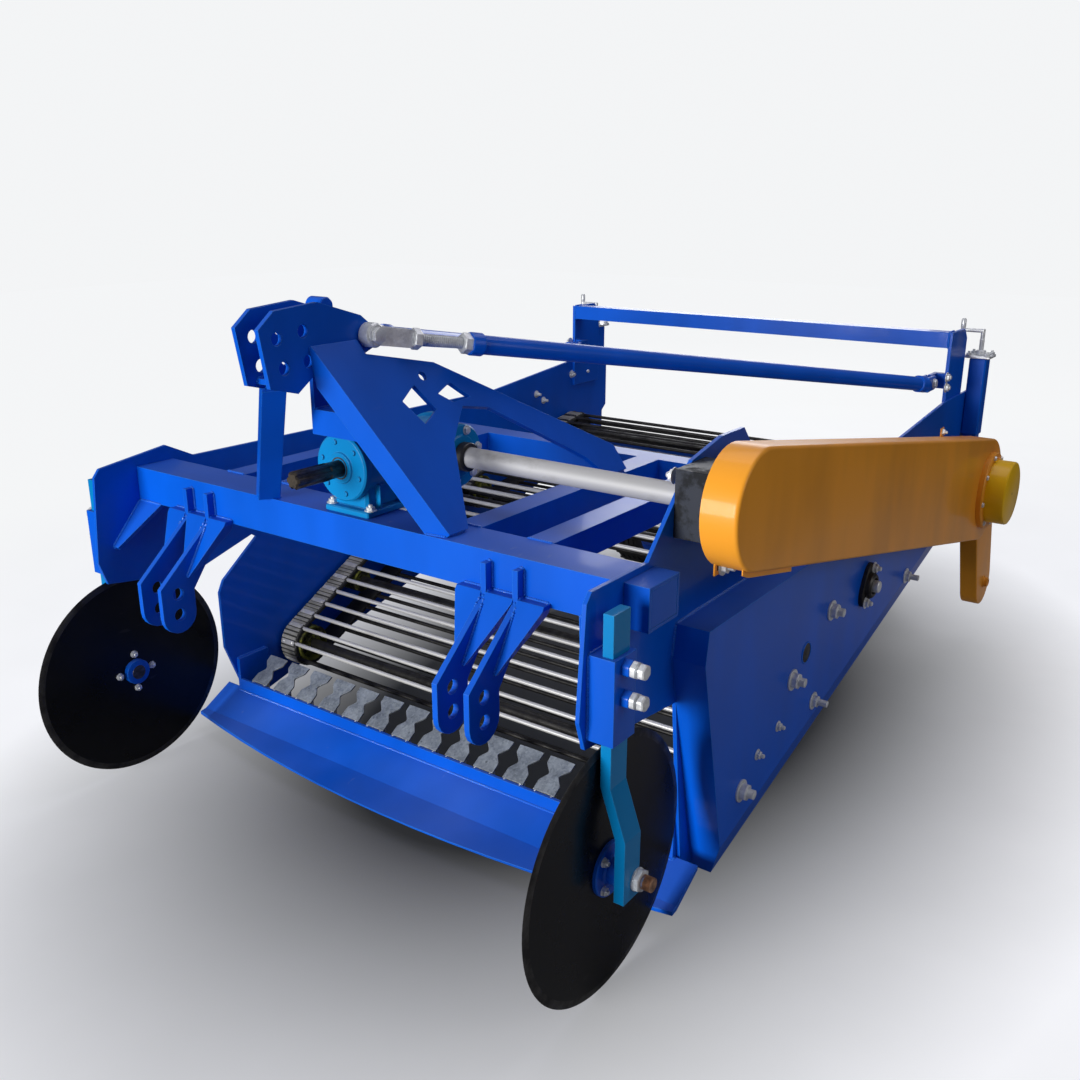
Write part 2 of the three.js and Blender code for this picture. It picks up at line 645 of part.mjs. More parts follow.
// ---------------------------------------------------------------- drive
function gearbox() {
  const barrel = roundY(HOUSING_R, HOUSING_FRONT, HOUSING_BACK, PTO_X, DRIVE_Z);
  const flangeFace = OUTPUT_FACE - OUTPUT_FLANGE;
  const side = roundX(HOUSING_SIDE_R, PTO_X, flangeFace + SINK, SHAFT_Y, DRIVE_Z);
  const flange = roundX(OUTPUT_FLANGE_R, flangeFace, OUTPUT_FACE, SHAFT_Y, DRIVE_Z);
  const base = block(PTO_X - BASE_HALF, PTO_X + BASE_HALF, BASE_START, HOUSING_BACK - OUTPUT_FLANGE,
    BEAM_TOP, DRIVE_Z - HOUSING_R / 2);
  const inputBore = roundY(PTO_R + BORE_GAP, HOUSING_FRONT - SINK, HOUSING_FRONT + PTO_SEAT + SINK,
    PTO_X, DRIVE_Z, SMALL_ROUND);
  const outputBore = roundX(SHAFT_R + BORE_GAP, SHAFT_START - SINK, OUTPUT_FACE + SINK, SHAFT_Y,
    DRIVE_Z, SMALL_ROUND);
  return cut(union([barrel, side, flange, base]), [inputBore, outputBore]);
}

function ptoShaft() {
  const front = HOUSING_FRONT - PTO_REACH;
  const shaft = roundY(PTO_R, front, HOUSING_FRONT + PTO_SEAT, PTO_X, DRIVE_Z, SMALL_ROUND);
  const splines = [];
  for (let i = 0; i < SPLINE_COUNT; i += 1) {
    const angle = 2 * Math.PI * (i + 0.5) / SPLINE_COUNT;
    splines.push(roundY(SPLINE_R, front - SINK, HOUSING_FRONT - SPLINE_END,
      PTO_X + (PTO_R + SINK) * Math.cos(angle), DRIVE_Z + (PTO_R + SINK) * Math.sin(angle), ROD_ROUND));
  }
  return cut(shaft, splines);
}

function sideShaft() {
  return roundX(SHAFT_R, SHAFT_START, CASE_INNER + SHAFT_IN_CASE, SHAFT_Y, DRIVE_Z, SMALL_ROUND);
}

function shaftBearing() {
  const housing = block(WALL_OUTER, CASE_INNER, SHAFT_Y - BEARING_HALF_Y, SHAFT_Y + BEARING_HALF_Y,
    DRIVE_Z - BEARING_HALF_Z, DRIVE_Z + BEARING_HALF_Z);
  const bore = roundX(SHAFT_R + BORE_GAP, WALL_OUTER - SINK, CASE_INNER + SINK, SHAFT_Y, DRIVE_Z,
    SMALL_ROUND);
  return cut(housing, [bore]);
}

// The chain case with the arm that hangs from its rear end and the stub that carries it.
function chainCase() {
  const front = { y: SHAFT_Y, z: DRIVE_Z, r: CASE_FRONT_R };
  const rear = { y: REAR_Y, z: CASE_REAR_Z, r: CASE_REAR_R };
  const body = plateX(beltOutline(front, rear, 0, 16), CASE_INNER, CASE_OUTER);
  const armTop = { y: ARM_TOP_Y, z: CASE_REAR_Z, r: ARM_TOP_R };
  const armEnd = { y: ARM_END_Y, z: ARM_END_Z, r: ARM_END_R };
  const armFace = CASE_OUTER - ARM_STEP;
  const arm = plateX(beltOutline(armEnd, armTop, 0, 12), CASE_INNER, armFace);
  const stub = roundX(CASE_STUB_R, WALL_OUTER, CASE_INNER + SINK, REAR_Y, CASE_REAR_Z);
  const boss = roundX(ARM_BOSS_R, armFace - SINK, armFace + ARM_BOSS, ARM_END_Y, ARM_END_Z, SMALL_ROUND);
  const bore = roundX(SHAFT_R + BORE_GAP, CASE_INNER - SINK, CASE_INNER + SHAFT_IN_CASE + SINK, SHAFT_Y,
    DRIVE_Z, SMALL_ROUND);
  return cut(union([body, arm, stub, boss]), [bore]);
}

function hubCap() {
  const ring = roundX(CAP_RING_R, CASE_OUTER, CASE_OUTER + CAP_RING, REAR_Y, CASE_REAR_Z);
  const cap = roundX(CAP_R, CASE_OUTER + CAP_RING - SINK, CAP_OUTER, REAR_Y, CASE_REAR_Z);
  return union([ring, cap]);
}

// ---------------------------------------------------------------- webs and rollers
function webTrack(front, back) {
  const points = beltOutline(front, back, BELT_THICK / 2, 24).map(([y, z]) => new THREE.Vector3(0, y, z));
  const path = new THREE.CurvePath();
  points.forEach((point, i) => {
    path.add(new THREE.LineCurve3(point, points[(i + 1) % points.length]));
  });
  return path;
}

// The two places across the machine that a web's belts and their drums take up.
function beltSpans() {
  const edge = WALL_INNER - WEB_SIDE_GAP;
  return [[-edge, -edge + BELT_WIDTH], [edge - BELT_WIDTH, edge]];
}

function web(front, back) {
  const belts = beltSpans().map(([x0, x1]) => {
    const outer = plateX(beltOutline(front, back, BELT_THICK), x0, x1);
    const inner = plateX(beltOutline(front, back, GAP), x0 - SINK, x1 + SINK);
    return cut(outer, [inner]);
  });
  const rodEnd = WALL_INNER - WEB_SIDE_GAP - ROD_INSET;
  const track = webTrack(front, back);
  const count = Math.round(track.getLength() / WEB_PITCH);
  const rods = [];
  for (let i = 0; i < count; i += 1) {
    const spot = track.getPointAt(i / count);
    rods.push(roundX(ROD_R, -rodEnd, rodEnd, spot.y, spot.z, ROD_ROUND));
  }
  return union([...belts, ...rods]);
}

// A shaft across the machine with a drum under each belt.
function roller(at) {
  const shaft = roundX(AXLE_R, -WALL_INNER + GAP, WALL_INNER - GAP, at.y, at.z, SMALL_ROUND);
  const drums = beltSpans().map(([x0, x1]) => roundX(at.r - DRUM_GAP, x0, x1, at.y, at.z));
  return union([shaft, ...drums]);
}

// An idler shaft under the front web's top run, at a share of the way along it.
function idler(share) {
  const dy = DRIVE_ROLLER.y - FRONT_IDLER.y;
  const dz = DRIVE_ROLLER.z - FRONT_IDLER.z;
  const dr = DRIVE_ROLLER.r - FRONT_IDLER.r;
  const lean = Math.atan2(dz, dy) + Math.asin(dr / Math.hypot(dy, dz));
  const depth = FRONT_IDLER.r + dr * share - IDLER_R;
  const y = FRONT_IDLER.y + dy * share - depth * Math.sin(lean);
  const z = FRONT_IDLER.z + dz * share + depth * Math.cos(lean);
  return roller({ y, z, r: IDLER_R });
}

// ---------------------------------------------------------------- share
// The blade's outline from above: its cutting edge bows forward in the middle.
function bladePlan(rearY, top) {
  const edge = [];
  for (let i = 0; i <= SHARE_EDGE_STEPS; i += 1) {
    const across = 2 * i / SHARE_EDGE_STEPS - 1;
    const y = SHARE_CENTRE_Y + (SHARE_END_Y - SHARE_CENTRE_Y) * across ** 2;
    edge.push([across * SHARE_HALF, y]);
  }
  return plateZ([...edge, [SHARE_HALF, rearY + SINK], [-SHARE_HALF, rearY + SINK]], 0, top);
}

function share() {
  const [creaseY, creaseZ] = SHARE_CREASE;
  const [rearY, rearZ] = SHARE_REAR;
  const sheet = plateX([
    [SHARE_CENTRE_Y, SHARE_EDGE_Z - SHARE_EDGE],
    [creaseY, creaseZ - SHARE_THICK],
    [rearY, rearZ - SHARE_THICK],
    [rearY, rearZ],
    [creaseY, creaseZ],
    [SHARE_CENTRE_Y, SHARE_EDGE_Z],
  ], -SHARE_HALF, SHARE_HALF);
  const blade = sheet.intersect(bladePlan(rearY, rearZ + SINK));
  const upstand = block(-WALL_INNER, WALL_INNER, rearY - SHARE_UPSTAND_THICK, rearY,
    rearZ - SHARE_UPSTAND_THICK, rearZ + SHARE_UPSTAND);
  const [thick, length, height] = SHARE_CHEEK;
  const cheek = block(WALL_INNER - thick, WALL_INNER, rearY - SHARE_UPSTAND_THICK, rearY + length,
    rearZ - SHARE_UPSTAND_THICK, rearZ + height);
  return union([blade, upstand, cheek, mirrorX(cheek)]);
}

// Hourglass plates that lift the soil slice from the share on to the web.
function shareFingers() {
  const [stripDepth, stripHeight] = FINGER_STRIP;
  const baseY = SHARE_REAR[0] + GAP;
  const topZ = SHARE_REAR[1] + stripHeight * 2 / 3;
  const half = (FINGER_COUNT - 1) / 2;
  const reach = half * FINGER_PITCH + FINGER_WIDTH / 2;
  const strip = block(-reach, reach, baseY, baseY + stripDepth, topZ - stripHeight, topZ);
  const wide = FINGER_WIDTH / 2;
  const waist = wide * FINGER_WAIST;
  const side = [[wide, 0], [waist, 0.4], [wide, 0.78], [0.7 * wide, 1]];
  const right = side.map(([x, along]) => [x, along * FINGER_LENGTH]);
  const left = right.map(([x, along]) => [-x, along]).reverse();
  const shape = outline([...right, ...left]);
  const fingers = [];
  for (let i = 0; i < FINGER_COUNT; i += 1) {
    const geometry = new THREE.ExtrudeGeometry(shape, { depth: FINGER_THICK, bevelEnabled: false });
    geometry.rotateX(THREE.MathUtils.degToRad(FINGER_LEAN));
    geometry.translate((i - half) * FINGER_PITCH, baseY + FINGER_THICK, topZ - FINGER_THICK * 2);
    fingers.push(solid(geometry));
  }
  return union([strip, ...fingers]);
}

// ---------------------------------------------------------------- coulters
function coulterSleeve() {
  const half = SHANK_THICK / 2 + GAP;
  const deep = SHANK_DEPTH / 2 + GAP;
  const body = block(WALL_OUTER, SHANK_X + half + SLEEVE_WALL, SHANK_Y - deep - SLEEVE_WALL,
    SHANK_Y + deep + SLEEVE_WALL, SLEEVE_BOTTOM, SLEEVE_TOP);
  const slot = block(SHANK_X - half, SHANK_X + half, SHANK_Y - deep, SHANK_Y + deep,
    SLEEVE_BOTTOM - SINK, SLEEVE_TOP + SINK);
  return cut(body, [slot]);
}

// The flat shank steps out below the sleeve to clear the disc's hub, and carries its axle.
function coulterShank() {
  const half = SHANK_THICK / 2;
  const foot = DISC_R - SHANK_FOOT;
  const bar = plateY([
    [SHANK_TOP, SHANK_X - half],
    [SHANK_BEND_TOP, SHANK_X - half],
    [SHANK_BEND_LOW, SHANK_LOW_X - half],
    [foot, SHANK_LOW_X - half],
    [foot, SHANK_LOW_X + half],
    [SHANK_BEND_LOW, SHANK_LOW_X + half],
    [SHANK_BEND_TOP, SHANK_X + half],
    [SHANK_TOP, SHANK_X + half],
  ], SHANK_Y - SHANK_DEPTH / 2, SHANK_Y + SHANK_DEPTH / 2);
  const axle = roundX(COULTER_AXLE_R, DISC_X - DISC_THICK, COULTER_OUTER, DISC_Y, DISC_R, SMALL_ROUND);
  const face = SHANK_LOW_X + half;
  const nut = roundX(SHANK_NUT_R, face - SINK, face + SHANK_NUT, DISC_Y, DISC_R, HEX);
  return union([bar, axle, nut]);
}

function coulterDisc() {
  const back = DISC_X - DISC_THICK / 2;
  const face = DISC_X + DISC_THICK / 2;
  const blade = roundX(DISC_R, back, face, DISC_Y, DISC_R, DISC_ROUND);
  const flange = roundX(HUB_FLANGE_R, face - SINK, face + HUB_FLANGE, DISC_Y, DISC_R);
  const hub = roundX(HUB_R, face - SINK, face + HUB_LENGTH, DISC_Y, DISC_R);
  const cap = roundX(HUB_R, back - HUB_BACK, back + SINK, DISC_Y, DISC_R);
  const bore = roundX(COULTER_AXLE_R + BORE_GAP, DISC_X - DISC_THICK - BORE_GAP, LONG, DISC_Y, DISC_R,
    SMALL_ROUND);
  return cut(union([blade, flange, hub, cap]), [bore]);
}

// ---------------------------------------------------------------- rear frame and wheels
function rearPost() {
  const plate = plateX([
    [POST_FRONT, POST_FOOT],
    [POST_FRONT, POST_TOP],
    [POST_REAR - POST_CHAMFER, POST_TOP],
    [POST_REAR, POST_TOP - POST_CHAMFER],
    [POST_REAR, POST_FOOT],
  ], WALL_INNER - POST_THICK, WALL_INNER);
  const lug = block(LUG_X - LUG_THICK / 2, LUG_X + LUG_THICK / 2, LUG_PIN_Y - LUG_HALF + 2 * SINK,
    POST_FRONT + LUG_BACK, LUG_Z - LUG_HALF, LUG_Z + LUG_HALF);
  const web = block(LUG_X, WALL_INNER - POST_THICK + SINK, LUG_PIN_Y + LUG_HALF, POST_FRONT + LUG_BACK,
    LUG_Z - LUG_HALF, LUG_Z + LUG_HALF);
  const hole = roundX(LUG_PIN, LUG_X - LUG_THICK, LUG_X + LUG_THICK, LUG_PIN_Y, LUG_Z, SMALL_ROUND);
  return cut(union([plate, lug, web]), [hole]);
}

function rearBar() {
  const reach = WALL_INNER - POST_THICK;
  return block(-reach, reach, POST_FRONT, POST_FRONT + REAR_BAR, POST_TOP - REAR_BAR, POST_TOP);
}

// The tube of the height screw outside the wall, with its crank turned to one side.
function heightScrew(crankSide) {
  const half = SCREW_TUBE / 2;
  const tube = block(SCREW_X - half, SCREW_X + half, SCREW_Y - half, SCREW_Y + half, SCREW_BOTTOM,
    SCREW_TOP);
  const wide = SCREW_FLANGE / 2;
  const flange = block(SCREW_X - wide, SCREW_X + wide, SCREW_Y - wide, SCREW_Y + wide, SCREW_TOP,
    SCREW_TOP + SCREW_FLANGE_THICK);
  const top = SCREW_TOP + SCREW_FLANGE_THICK + CRANK_RISE;
  const rod = roundZ(CRANK_R, SCREW_TOP, top + CRANK_R, SCREW_X, SCREW_Y, ROD_ROUND);
  const end = SCREW_X + crankSide * CRANK_REACH;
  const arm = roundX(CRANK_R, Math.min(SCREW_X, end), Math.max(SCREW_X, end), SCREW_Y, top, ROD_ROUND);
  const grip = roundZ(CRANK_R + SINK, top - CRANK_R, top + CRANK_GRIP, end, SCREW_Y, ROD_ROUND);
  return union([tube, flange, rod, arm, grip]);
}

function wheelLeg() {
  const half = LEG_TUBE / 2;
  return block(SCREW_X - half, SCREW_X + half, SCREW_Y - half, SCREW_Y + half,
    AXLE_TUBE_LOW + AXLE_TUBE, SCREW_BOTTOM);
}

function rearAxle() {
  const half = AXLE_TUBE / 2;
  const reach = SCREW_X + SCREW_TUBE / 2;
  return block(-reach, reach, SCREW_Y - half, SCREW_Y + half, AXLE_TUBE_LOW, AXLE_TUBE_LOW + AXLE_TUBE);
}

// A plate under the cross axle with the stub that the depth wheel turns on.
function wheelArm() {
  const hubOuter = WHEEL_X + WHEEL_WIDTH / 2 + WHEEL_HUB_OUT;
  const hubInner = WHEEL_X - WHEEL_WIDTH / 2 - WHEEL_HUB_OUT;
  const x0 = hubOuter + RUN_GAP;
  const plate = block(x0, x0 + ARM_THICK, SCREW_Y - ARM_DEPTH / 2, SCREW_Y + ARM_DEPTH / 2,
    WHEEL_R - ARM_BELOW, AXLE_TUBE_LOW);
  const nutFace = hubInner - RUN_GAP;
  const stub = roundX(WHEEL_AXLE_R, nutFace - 2 * SHANK_NUT, x0 + SINK, SCREW_Y, WHEEL_R, SMALL_ROUND);
  const nut = roundX(ARM_COLLAR_R, nutFace - SHANK_NUT, nutFace, SCREW_Y, WHEEL_R, HEX);
  return union([plate, stub, nut]);
}

function depthWheel() {
  const x0 = WHEEL_X - WHEEL_WIDTH / 2;
  const x1 = WHEEL_X + WHEEL_WIDTH / 2;
  const dish = WHEEL_R - WHEEL_RIM;
  const drum = roundX(WHEEL_R, x0, x1, SCREW_Y, WHEEL_R, DISC_ROUND);
  const dishOut = roundX(dish, x1 - WHEEL_DISH, x1 + SINK, SCREW_Y, WHEEL_R);
  const dishIn = roundX(dish, x0 - SINK, x0 + WHEEL_DISH, SCREW_Y, WHEEL_R);
  const hub = roundX(WHEEL_HUB_R, x0 - WHEEL_HUB_OUT, x1 + WHEEL_HUB_OUT, SCREW_Y, WHEEL_R);
  const bore = roundX(WHEEL_AXLE_R + BORE_GAP, -LONG, LONG, SCREW_Y, WHEEL_R, SMALL_ROUND);
  return cut(union([cut(drum, [dishOut, dishIn]), hub]), [bore]);
}

// A rear stay: fork and threaded rod at the mast, then a tube back to the rear post's lug.
function stay() {
  const mastFace = MAST_GAP / 2 + MAST_THICK + GAP;
  const start = [mastFace + STAY_EYE / 2, STAY_PIN_Y, STAY_PIN_Z];
  const end = [LUG_X, LUG_PIN_Y - LUG_HALF - STAY_BRIDGE / 2, LUG_Z];
  const from = new THREE.Vector3(...start);
  const along = new THREE.Vector3(...end).sub(from);
  const point = (share) => along.clone().multiplyScalar(share).add(from).toArray();
  const eye = roundX(STAY_EYE_R, mastFace, mastFace + STAY_EYE, STAY_PIN_Y, STAY_PIN_Z);
  const pin = roundX(MAST_PIN - GAP, MAST_GAP / 2, mastFace + STAY_EYE + MAST_THICK, STAY_PIN_Y,
    STAY_PIN_Z, SMALL_ROUND);
  const fork = barBetween(start, point(STAY_FORK_END), ...STAY_FORK);
  const thread = rodBetween(...STAY_THREAD.map(point), STAY_THREAD_R);
  const nut = rodBetween(...STAY_NUT.map(point), STAY_NUT_R, HEX);
  const tube = rodBetween(point(STAY_TUBE_START), end, STAY_R);
  const lugFace = LUG_THICK / 2 + GAP;
  const cheekFace = lugFace + STAY_CHEEK;
  const bridge = block(LUG_X - cheekFace, LUG_X + cheekFace, end[1] - STAY_BRIDGE / 2,
    LUG_PIN_Y - LUG_HALF, LUG_Z - LUG_HALF, LUG_Z + LUG_HALF);
  const cheeks = [[-cheekFace, -lugFace], [lugFace, cheekFace]].map(([x0, x1]) => block(LUG_X + x0,
    LUG_X + x1, LUG_PIN_Y - LUG_HALF - SINK, LUG_PIN_Y + LUG_HALF - SINK, LUG_Z - LUG_HALF,
    LUG_Z + LUG_HALF));
  const lugPin = roundX(LUG_PIN - BORE_GAP, LUG_X - cheekFace - SINK, LUG_X + cheekFace + SINK,
    LUG_PIN_Y, LUG_Z, SMALL_ROUND);
  const trimmed = cut(union([eye, fork, thread, nut, tube, bridge]), [
    block(-LONG, mastFace, -LONG, LONG, 0, LONG),
    block(-LONG, LONG, LUG_PIN_Y - LUG_HALF, LONG, 0, LONG),
  ]);
  return union([trimmed, pin, ...cheeks, lugPin]);
}

// ---------------------------------------------------------------- assembly
const machine = new THREE.Group();
machine.position.set(CENTRE_X, CENTRE_Y, 0);

function place(name, body, material) {
  const mesh = new THREE.Mesh(geometryOf(body), material);
  mesh.name = name;
  machine.add(mesh);
}

function placePair(name, body, material) {
  place(`${name}_left`, mirrorX(body), material);
  place(`${name}_right`, body, material);
}

place('front_beam', frontBeam(), BLUE);
place('top_frame', topFrame(), NAVY);
place('side_wall_left', leftWall(), NAVY);
place('side_wall_right', rightWall(), NAVY);
place('side_box_right', sideBox(), BLUE);
placePair('lower_hitch', lowerHitch(), BLUE);
place('hitch_mast', hitchMast(), BLUE);
place('mast_bracket', mastBracket(), BLUE);
place('gearbox', gearbox(), SKY);
place('pto_shaft', ptoShaft(), DARK);
place('side_shaft', sideShaft(), STEEL);
place('shaft_bearing', shaftBearing(), DARK);
place('chain_case', chainCase(), YELLOW);
place('chain_case_cap', hubCap(), YELLOW);
place('front_web', web(FRONT_IDLER, DRIVE_ROLLER), STEEL);
place('rear_web', web(REAR_WEB_FRONT, REAR_WEB_DRIVE), DARK);
place('front_web_nose_roller', roller(FRONT_IDLER), OLIVE);
place('front_web_idler_low', idler(IDLER_SHARES[0]), OLIVE);
place('front_web_idler_high', idler(IDLER_SHARES[1]), OLIVE);
place('front_web_drive_roller', roller(DRIVE_ROLLER), DARK);
place('rear_web_front_roller', roller(REAR_WEB_FRONT), OLIVE);
place('rear_web_drive_roller', roller(REAR_WEB_DRIVE), DARK);
place('share', share(), BLUE);
place('share_fingers', shareFingers(), STEEL);
placePair('coulter_sleeve', coulterSleeve(), BLUE);
placePair('coulter_shank', coulterShank(), SKY);
placePair('coulter_disc', coulterDisc(), GLOSS_BLACK);
placePair('rear_post', rearPost(), BLUE);
place('rear_bar', rearBar(), BLUE);
place('height_screw_left', mirrorX(heightScrew(1)), BLUE);
place('height_screw_right', heightScrew(-1), BLUE);
placePair('wheel_leg', wheelLeg(), BLUE);
place('rear_axle', rearAxle(), BLUE);
placePair('wheel_arm', wheelArm(), BLUE);
placePair('depth_wheel', depthWheel(), RUBBER);
placePair('rear_stay', stay(), BLUE);

export default machine;
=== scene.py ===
# %% [markdown]
# # A potato digger, dressed for its portrait
# The plain steel shapes of the machine are already packed as a fixed frame. This lesson gives them their
# paint, bare metal, rubber and hardware, and adds what a plain shape leaves out: weld beads, bolts, belts,
# threads and turned edges. The frame comes first, because every later place is read from it.

# %% The frame
import math

import bpy
import numpy as np
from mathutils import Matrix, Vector
from mathutils.bvhtree import BVHTree


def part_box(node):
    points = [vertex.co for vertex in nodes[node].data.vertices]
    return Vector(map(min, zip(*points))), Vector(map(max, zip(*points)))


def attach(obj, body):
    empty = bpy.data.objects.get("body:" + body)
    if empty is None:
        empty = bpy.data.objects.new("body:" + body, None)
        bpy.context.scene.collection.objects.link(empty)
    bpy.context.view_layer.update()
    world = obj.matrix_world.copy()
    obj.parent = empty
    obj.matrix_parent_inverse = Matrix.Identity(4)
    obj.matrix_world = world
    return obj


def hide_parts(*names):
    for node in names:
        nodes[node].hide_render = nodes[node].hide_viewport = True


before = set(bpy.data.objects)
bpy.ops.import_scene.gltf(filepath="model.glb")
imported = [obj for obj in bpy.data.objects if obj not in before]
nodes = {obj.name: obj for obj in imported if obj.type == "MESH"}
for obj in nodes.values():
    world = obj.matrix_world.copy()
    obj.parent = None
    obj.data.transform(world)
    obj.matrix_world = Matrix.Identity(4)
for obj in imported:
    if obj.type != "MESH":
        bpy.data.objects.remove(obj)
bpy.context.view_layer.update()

# %% [markdown]
# The machine has its own datum, as its maker's drawing has: x counts from the centreline, y backwards from
# the front face of the front beam, and z up from the floor. Two frame pieces fix it, and `at` turns a
# place on the drawing into a place in the scene. All sizes are in metres.

# %% The machine's datum
BEAM_DEPTH = 0.100


def corners(node):
    """Lowest and highest corner of a frame node, as two arrays."""
    low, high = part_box(node)
    return np.array(low), np.array(high)


def middle(node):
    """Middle of a node's box."""
    return sum(corners(node)) / 2


def outer_face(node, sign):
    """Where a node ends along x, on the side that the sign points to."""
    return corners(node)[1 if sign > 0 else 0][0]


beam_low, beam_high = corners("front_beam")
rails_low, _ = corners("top_frame")
DATUM = np.array([(beam_low[0] + beam_high[0]) / 2, rails_low[1] - BEAM_DEPTH, 0.0])
BEAM_TOP = beam_high[2]


def at(x, y, z):
    """A place on the machine's drawing, in the scene."""
    return DATUM + np.array([x, y, z])


print("datum", DATUM.round(4), "beam top", round(BEAM_TOP, 4))

# %% [markdown]
# The camera stands at shoulder height off the front corner with the chain case. It is placed by the point
# that it looks at, two angles and a distance, so each of them can be changed by itself.

# %% Camera
AIM = Vector((-0.142, -0.153, 0.478))
AZIMUTH, ELEVATION, DISTANCE = math.radians(35.9), math.radians(18.0), 2.9
LENS, SENSOR = 35.7, 36.0

forward = Vector((-math.sin(AZIMUTH) * math.cos(ELEVATION), math.cos(AZIMUTH) * math.cos(ELEVATION),
                  -math.sin(ELEVATION)))
camera = bpy.data.objects.new("camera", bpy.data.cameras.new("camera"))
camera.data.lens = LENS
camera.data.sensor_width = SENSOR
camera.location = AIM - forward * DISTANCE
camera.rotation_mode = "QUATERNION"
camera.rotation_quaternion = forward.to_track_quat("-Z", "Y")
bpy.context.scene.collection.objects.link(camera)
bpy.context.scene.camera = camera
print("camera at", [round(v, 3) for v in camera.location])

# %% [markdown]
# The light is a studio's: one wide soft lamp in front, which makes the faces that look forward
# bright and leaves the side in shade, a weak one overhead that puts a grey sheen on the tops, one at the
# side and one behind, so that no side is black. The room itself is dim. The pale backdrop is shown to the
# camera only, so it throws no light on the machine.

# %% Floor and light
FLOOR_HALF = 14.0
ROOM_COLOUR = (0.80, 0.84, 1.0)
ROOM_STRENGTH = 0.15
BACKDROP_COLOUR = (0.90, 0.91, 0.92)
LAMPS = [("front_lamp", (-1.3, -7.5, 1.5), (0, -0.4, 0.6), 3.0, 560, (1.0, 0.99, 0.96)),
         ("top_lamp", (0.2, 1.2, 5.2), (0, 0.3, 0.5), 3.5, 80, (0.97, 0.95, 1.0)),
         ("side_lamp", (6.0, 0.4, 3.0), (0.6, 0.3, 0.7), 3.0, 50, (1.0, 0.97, 0.92)),
         ("back_lamp", (-2.6, 6.5, 2.6), (0, 0.6, 0.5), 3.0, 110, (0.97, 0.98, 1.0))]


def soft_lamp(name, place, target, size, power, colour):
    """A square area lamp that looks at a point."""
    data = bpy.data.lights.new(name, "AREA")
    data.size = size
    data.energy = power
    data.color = colour
    lamp = bpy.data.objects.new(name, data)
    lamp.location = place
    lamp.rotation_mode = "QUATERNION"
    lamp.rotation_quaternion = (Vector(target) - Vector(place)).to_track_quat("-Z", "Y")
    bpy.context.scene.collection.objects.link(lamp)


for lamp in LAMPS:
    soft_lamp(*lamp)

world = bpy.data.worlds.new("studio")
world.use_nodes = True
bpy.context.scene.world = world
room = world.node_tree.nodes["Background"]
room.inputs["Color"].default_value = (*ROOM_COLOUR, 1)
room.inputs["Strength"].default_value = ROOM_STRENGTH
backdrop = world.node_tree.nodes.new("ShaderNodeBackground")
backdrop.inputs["Color"].default_value = (*BACKDROP_COLOUR, 1)
seen = world.node_tree.nodes.new("ShaderNodeLightPath")
choose = world.node_tree.nodes.new("ShaderNodeMixShader")
for k, output in enumerate((seen.outputs["Is Camera Ray"], room.outputs[0], backdrop.outputs[0])):
    world.node_tree.links.new(output, choose.inputs[k])
world.node_tree.links.new(choose.outputs[0], world.node_tree.nodes["World Output"].inputs["Surface"])
bpy.context.scene.view_settings.view_transform = "Standard"
print(len(LAMPS), "lamps and a pale backdrop")

# %% [markdown]
# A material is a small calculation on noise and on the lie of the surface. Written as node links it is
# hard to read, so one class wraps a socket and lets plain arithmetic add the Math nodes, and another
# adds every other kind of node in one call: settings first, then what goes into its sockets. A finished
# look is a pair: the material, and the slot of the machine's record that it belongs to.

# %% Shader arithmetic
class Signal:
    """A number that varies over a surface: arithmetic on it adds Math nodes."""

    def __init__(self, finish, socket):
        self.finish = finish
        self.socket = socket

    def math(self, operation, first, second=None):
        values = {0: first} if second is None else {0: first, 1: second}
        return self.finish.node("ShaderNodeMath", {"operation": operation}, values)[0]

    def __add__(self, other):
        return self.math("ADD", self, other)

    def __sub__(self, other):
        return self.math("SUBTRACT", self, other)

    def __rsub__(self, other):
        return self.math("SUBTRACT", other, self)

    def __mul__(self, other):
        return self.math("MULTIPLY", self, other)

    def __truediv__(self, other):
        return self.math("DIVIDE", self, other)

    def limited(self):
        return self.finish.node("ShaderNodeClamp", {}, {"Value": self})[0]

    def between(self, low, high):
        """0 below low, 1 above high, and a straight ramp from one to the other."""
        return ((self - low) / (high - low)).limited()

    __radd__ = __add__
    __rmul__ = __mul__


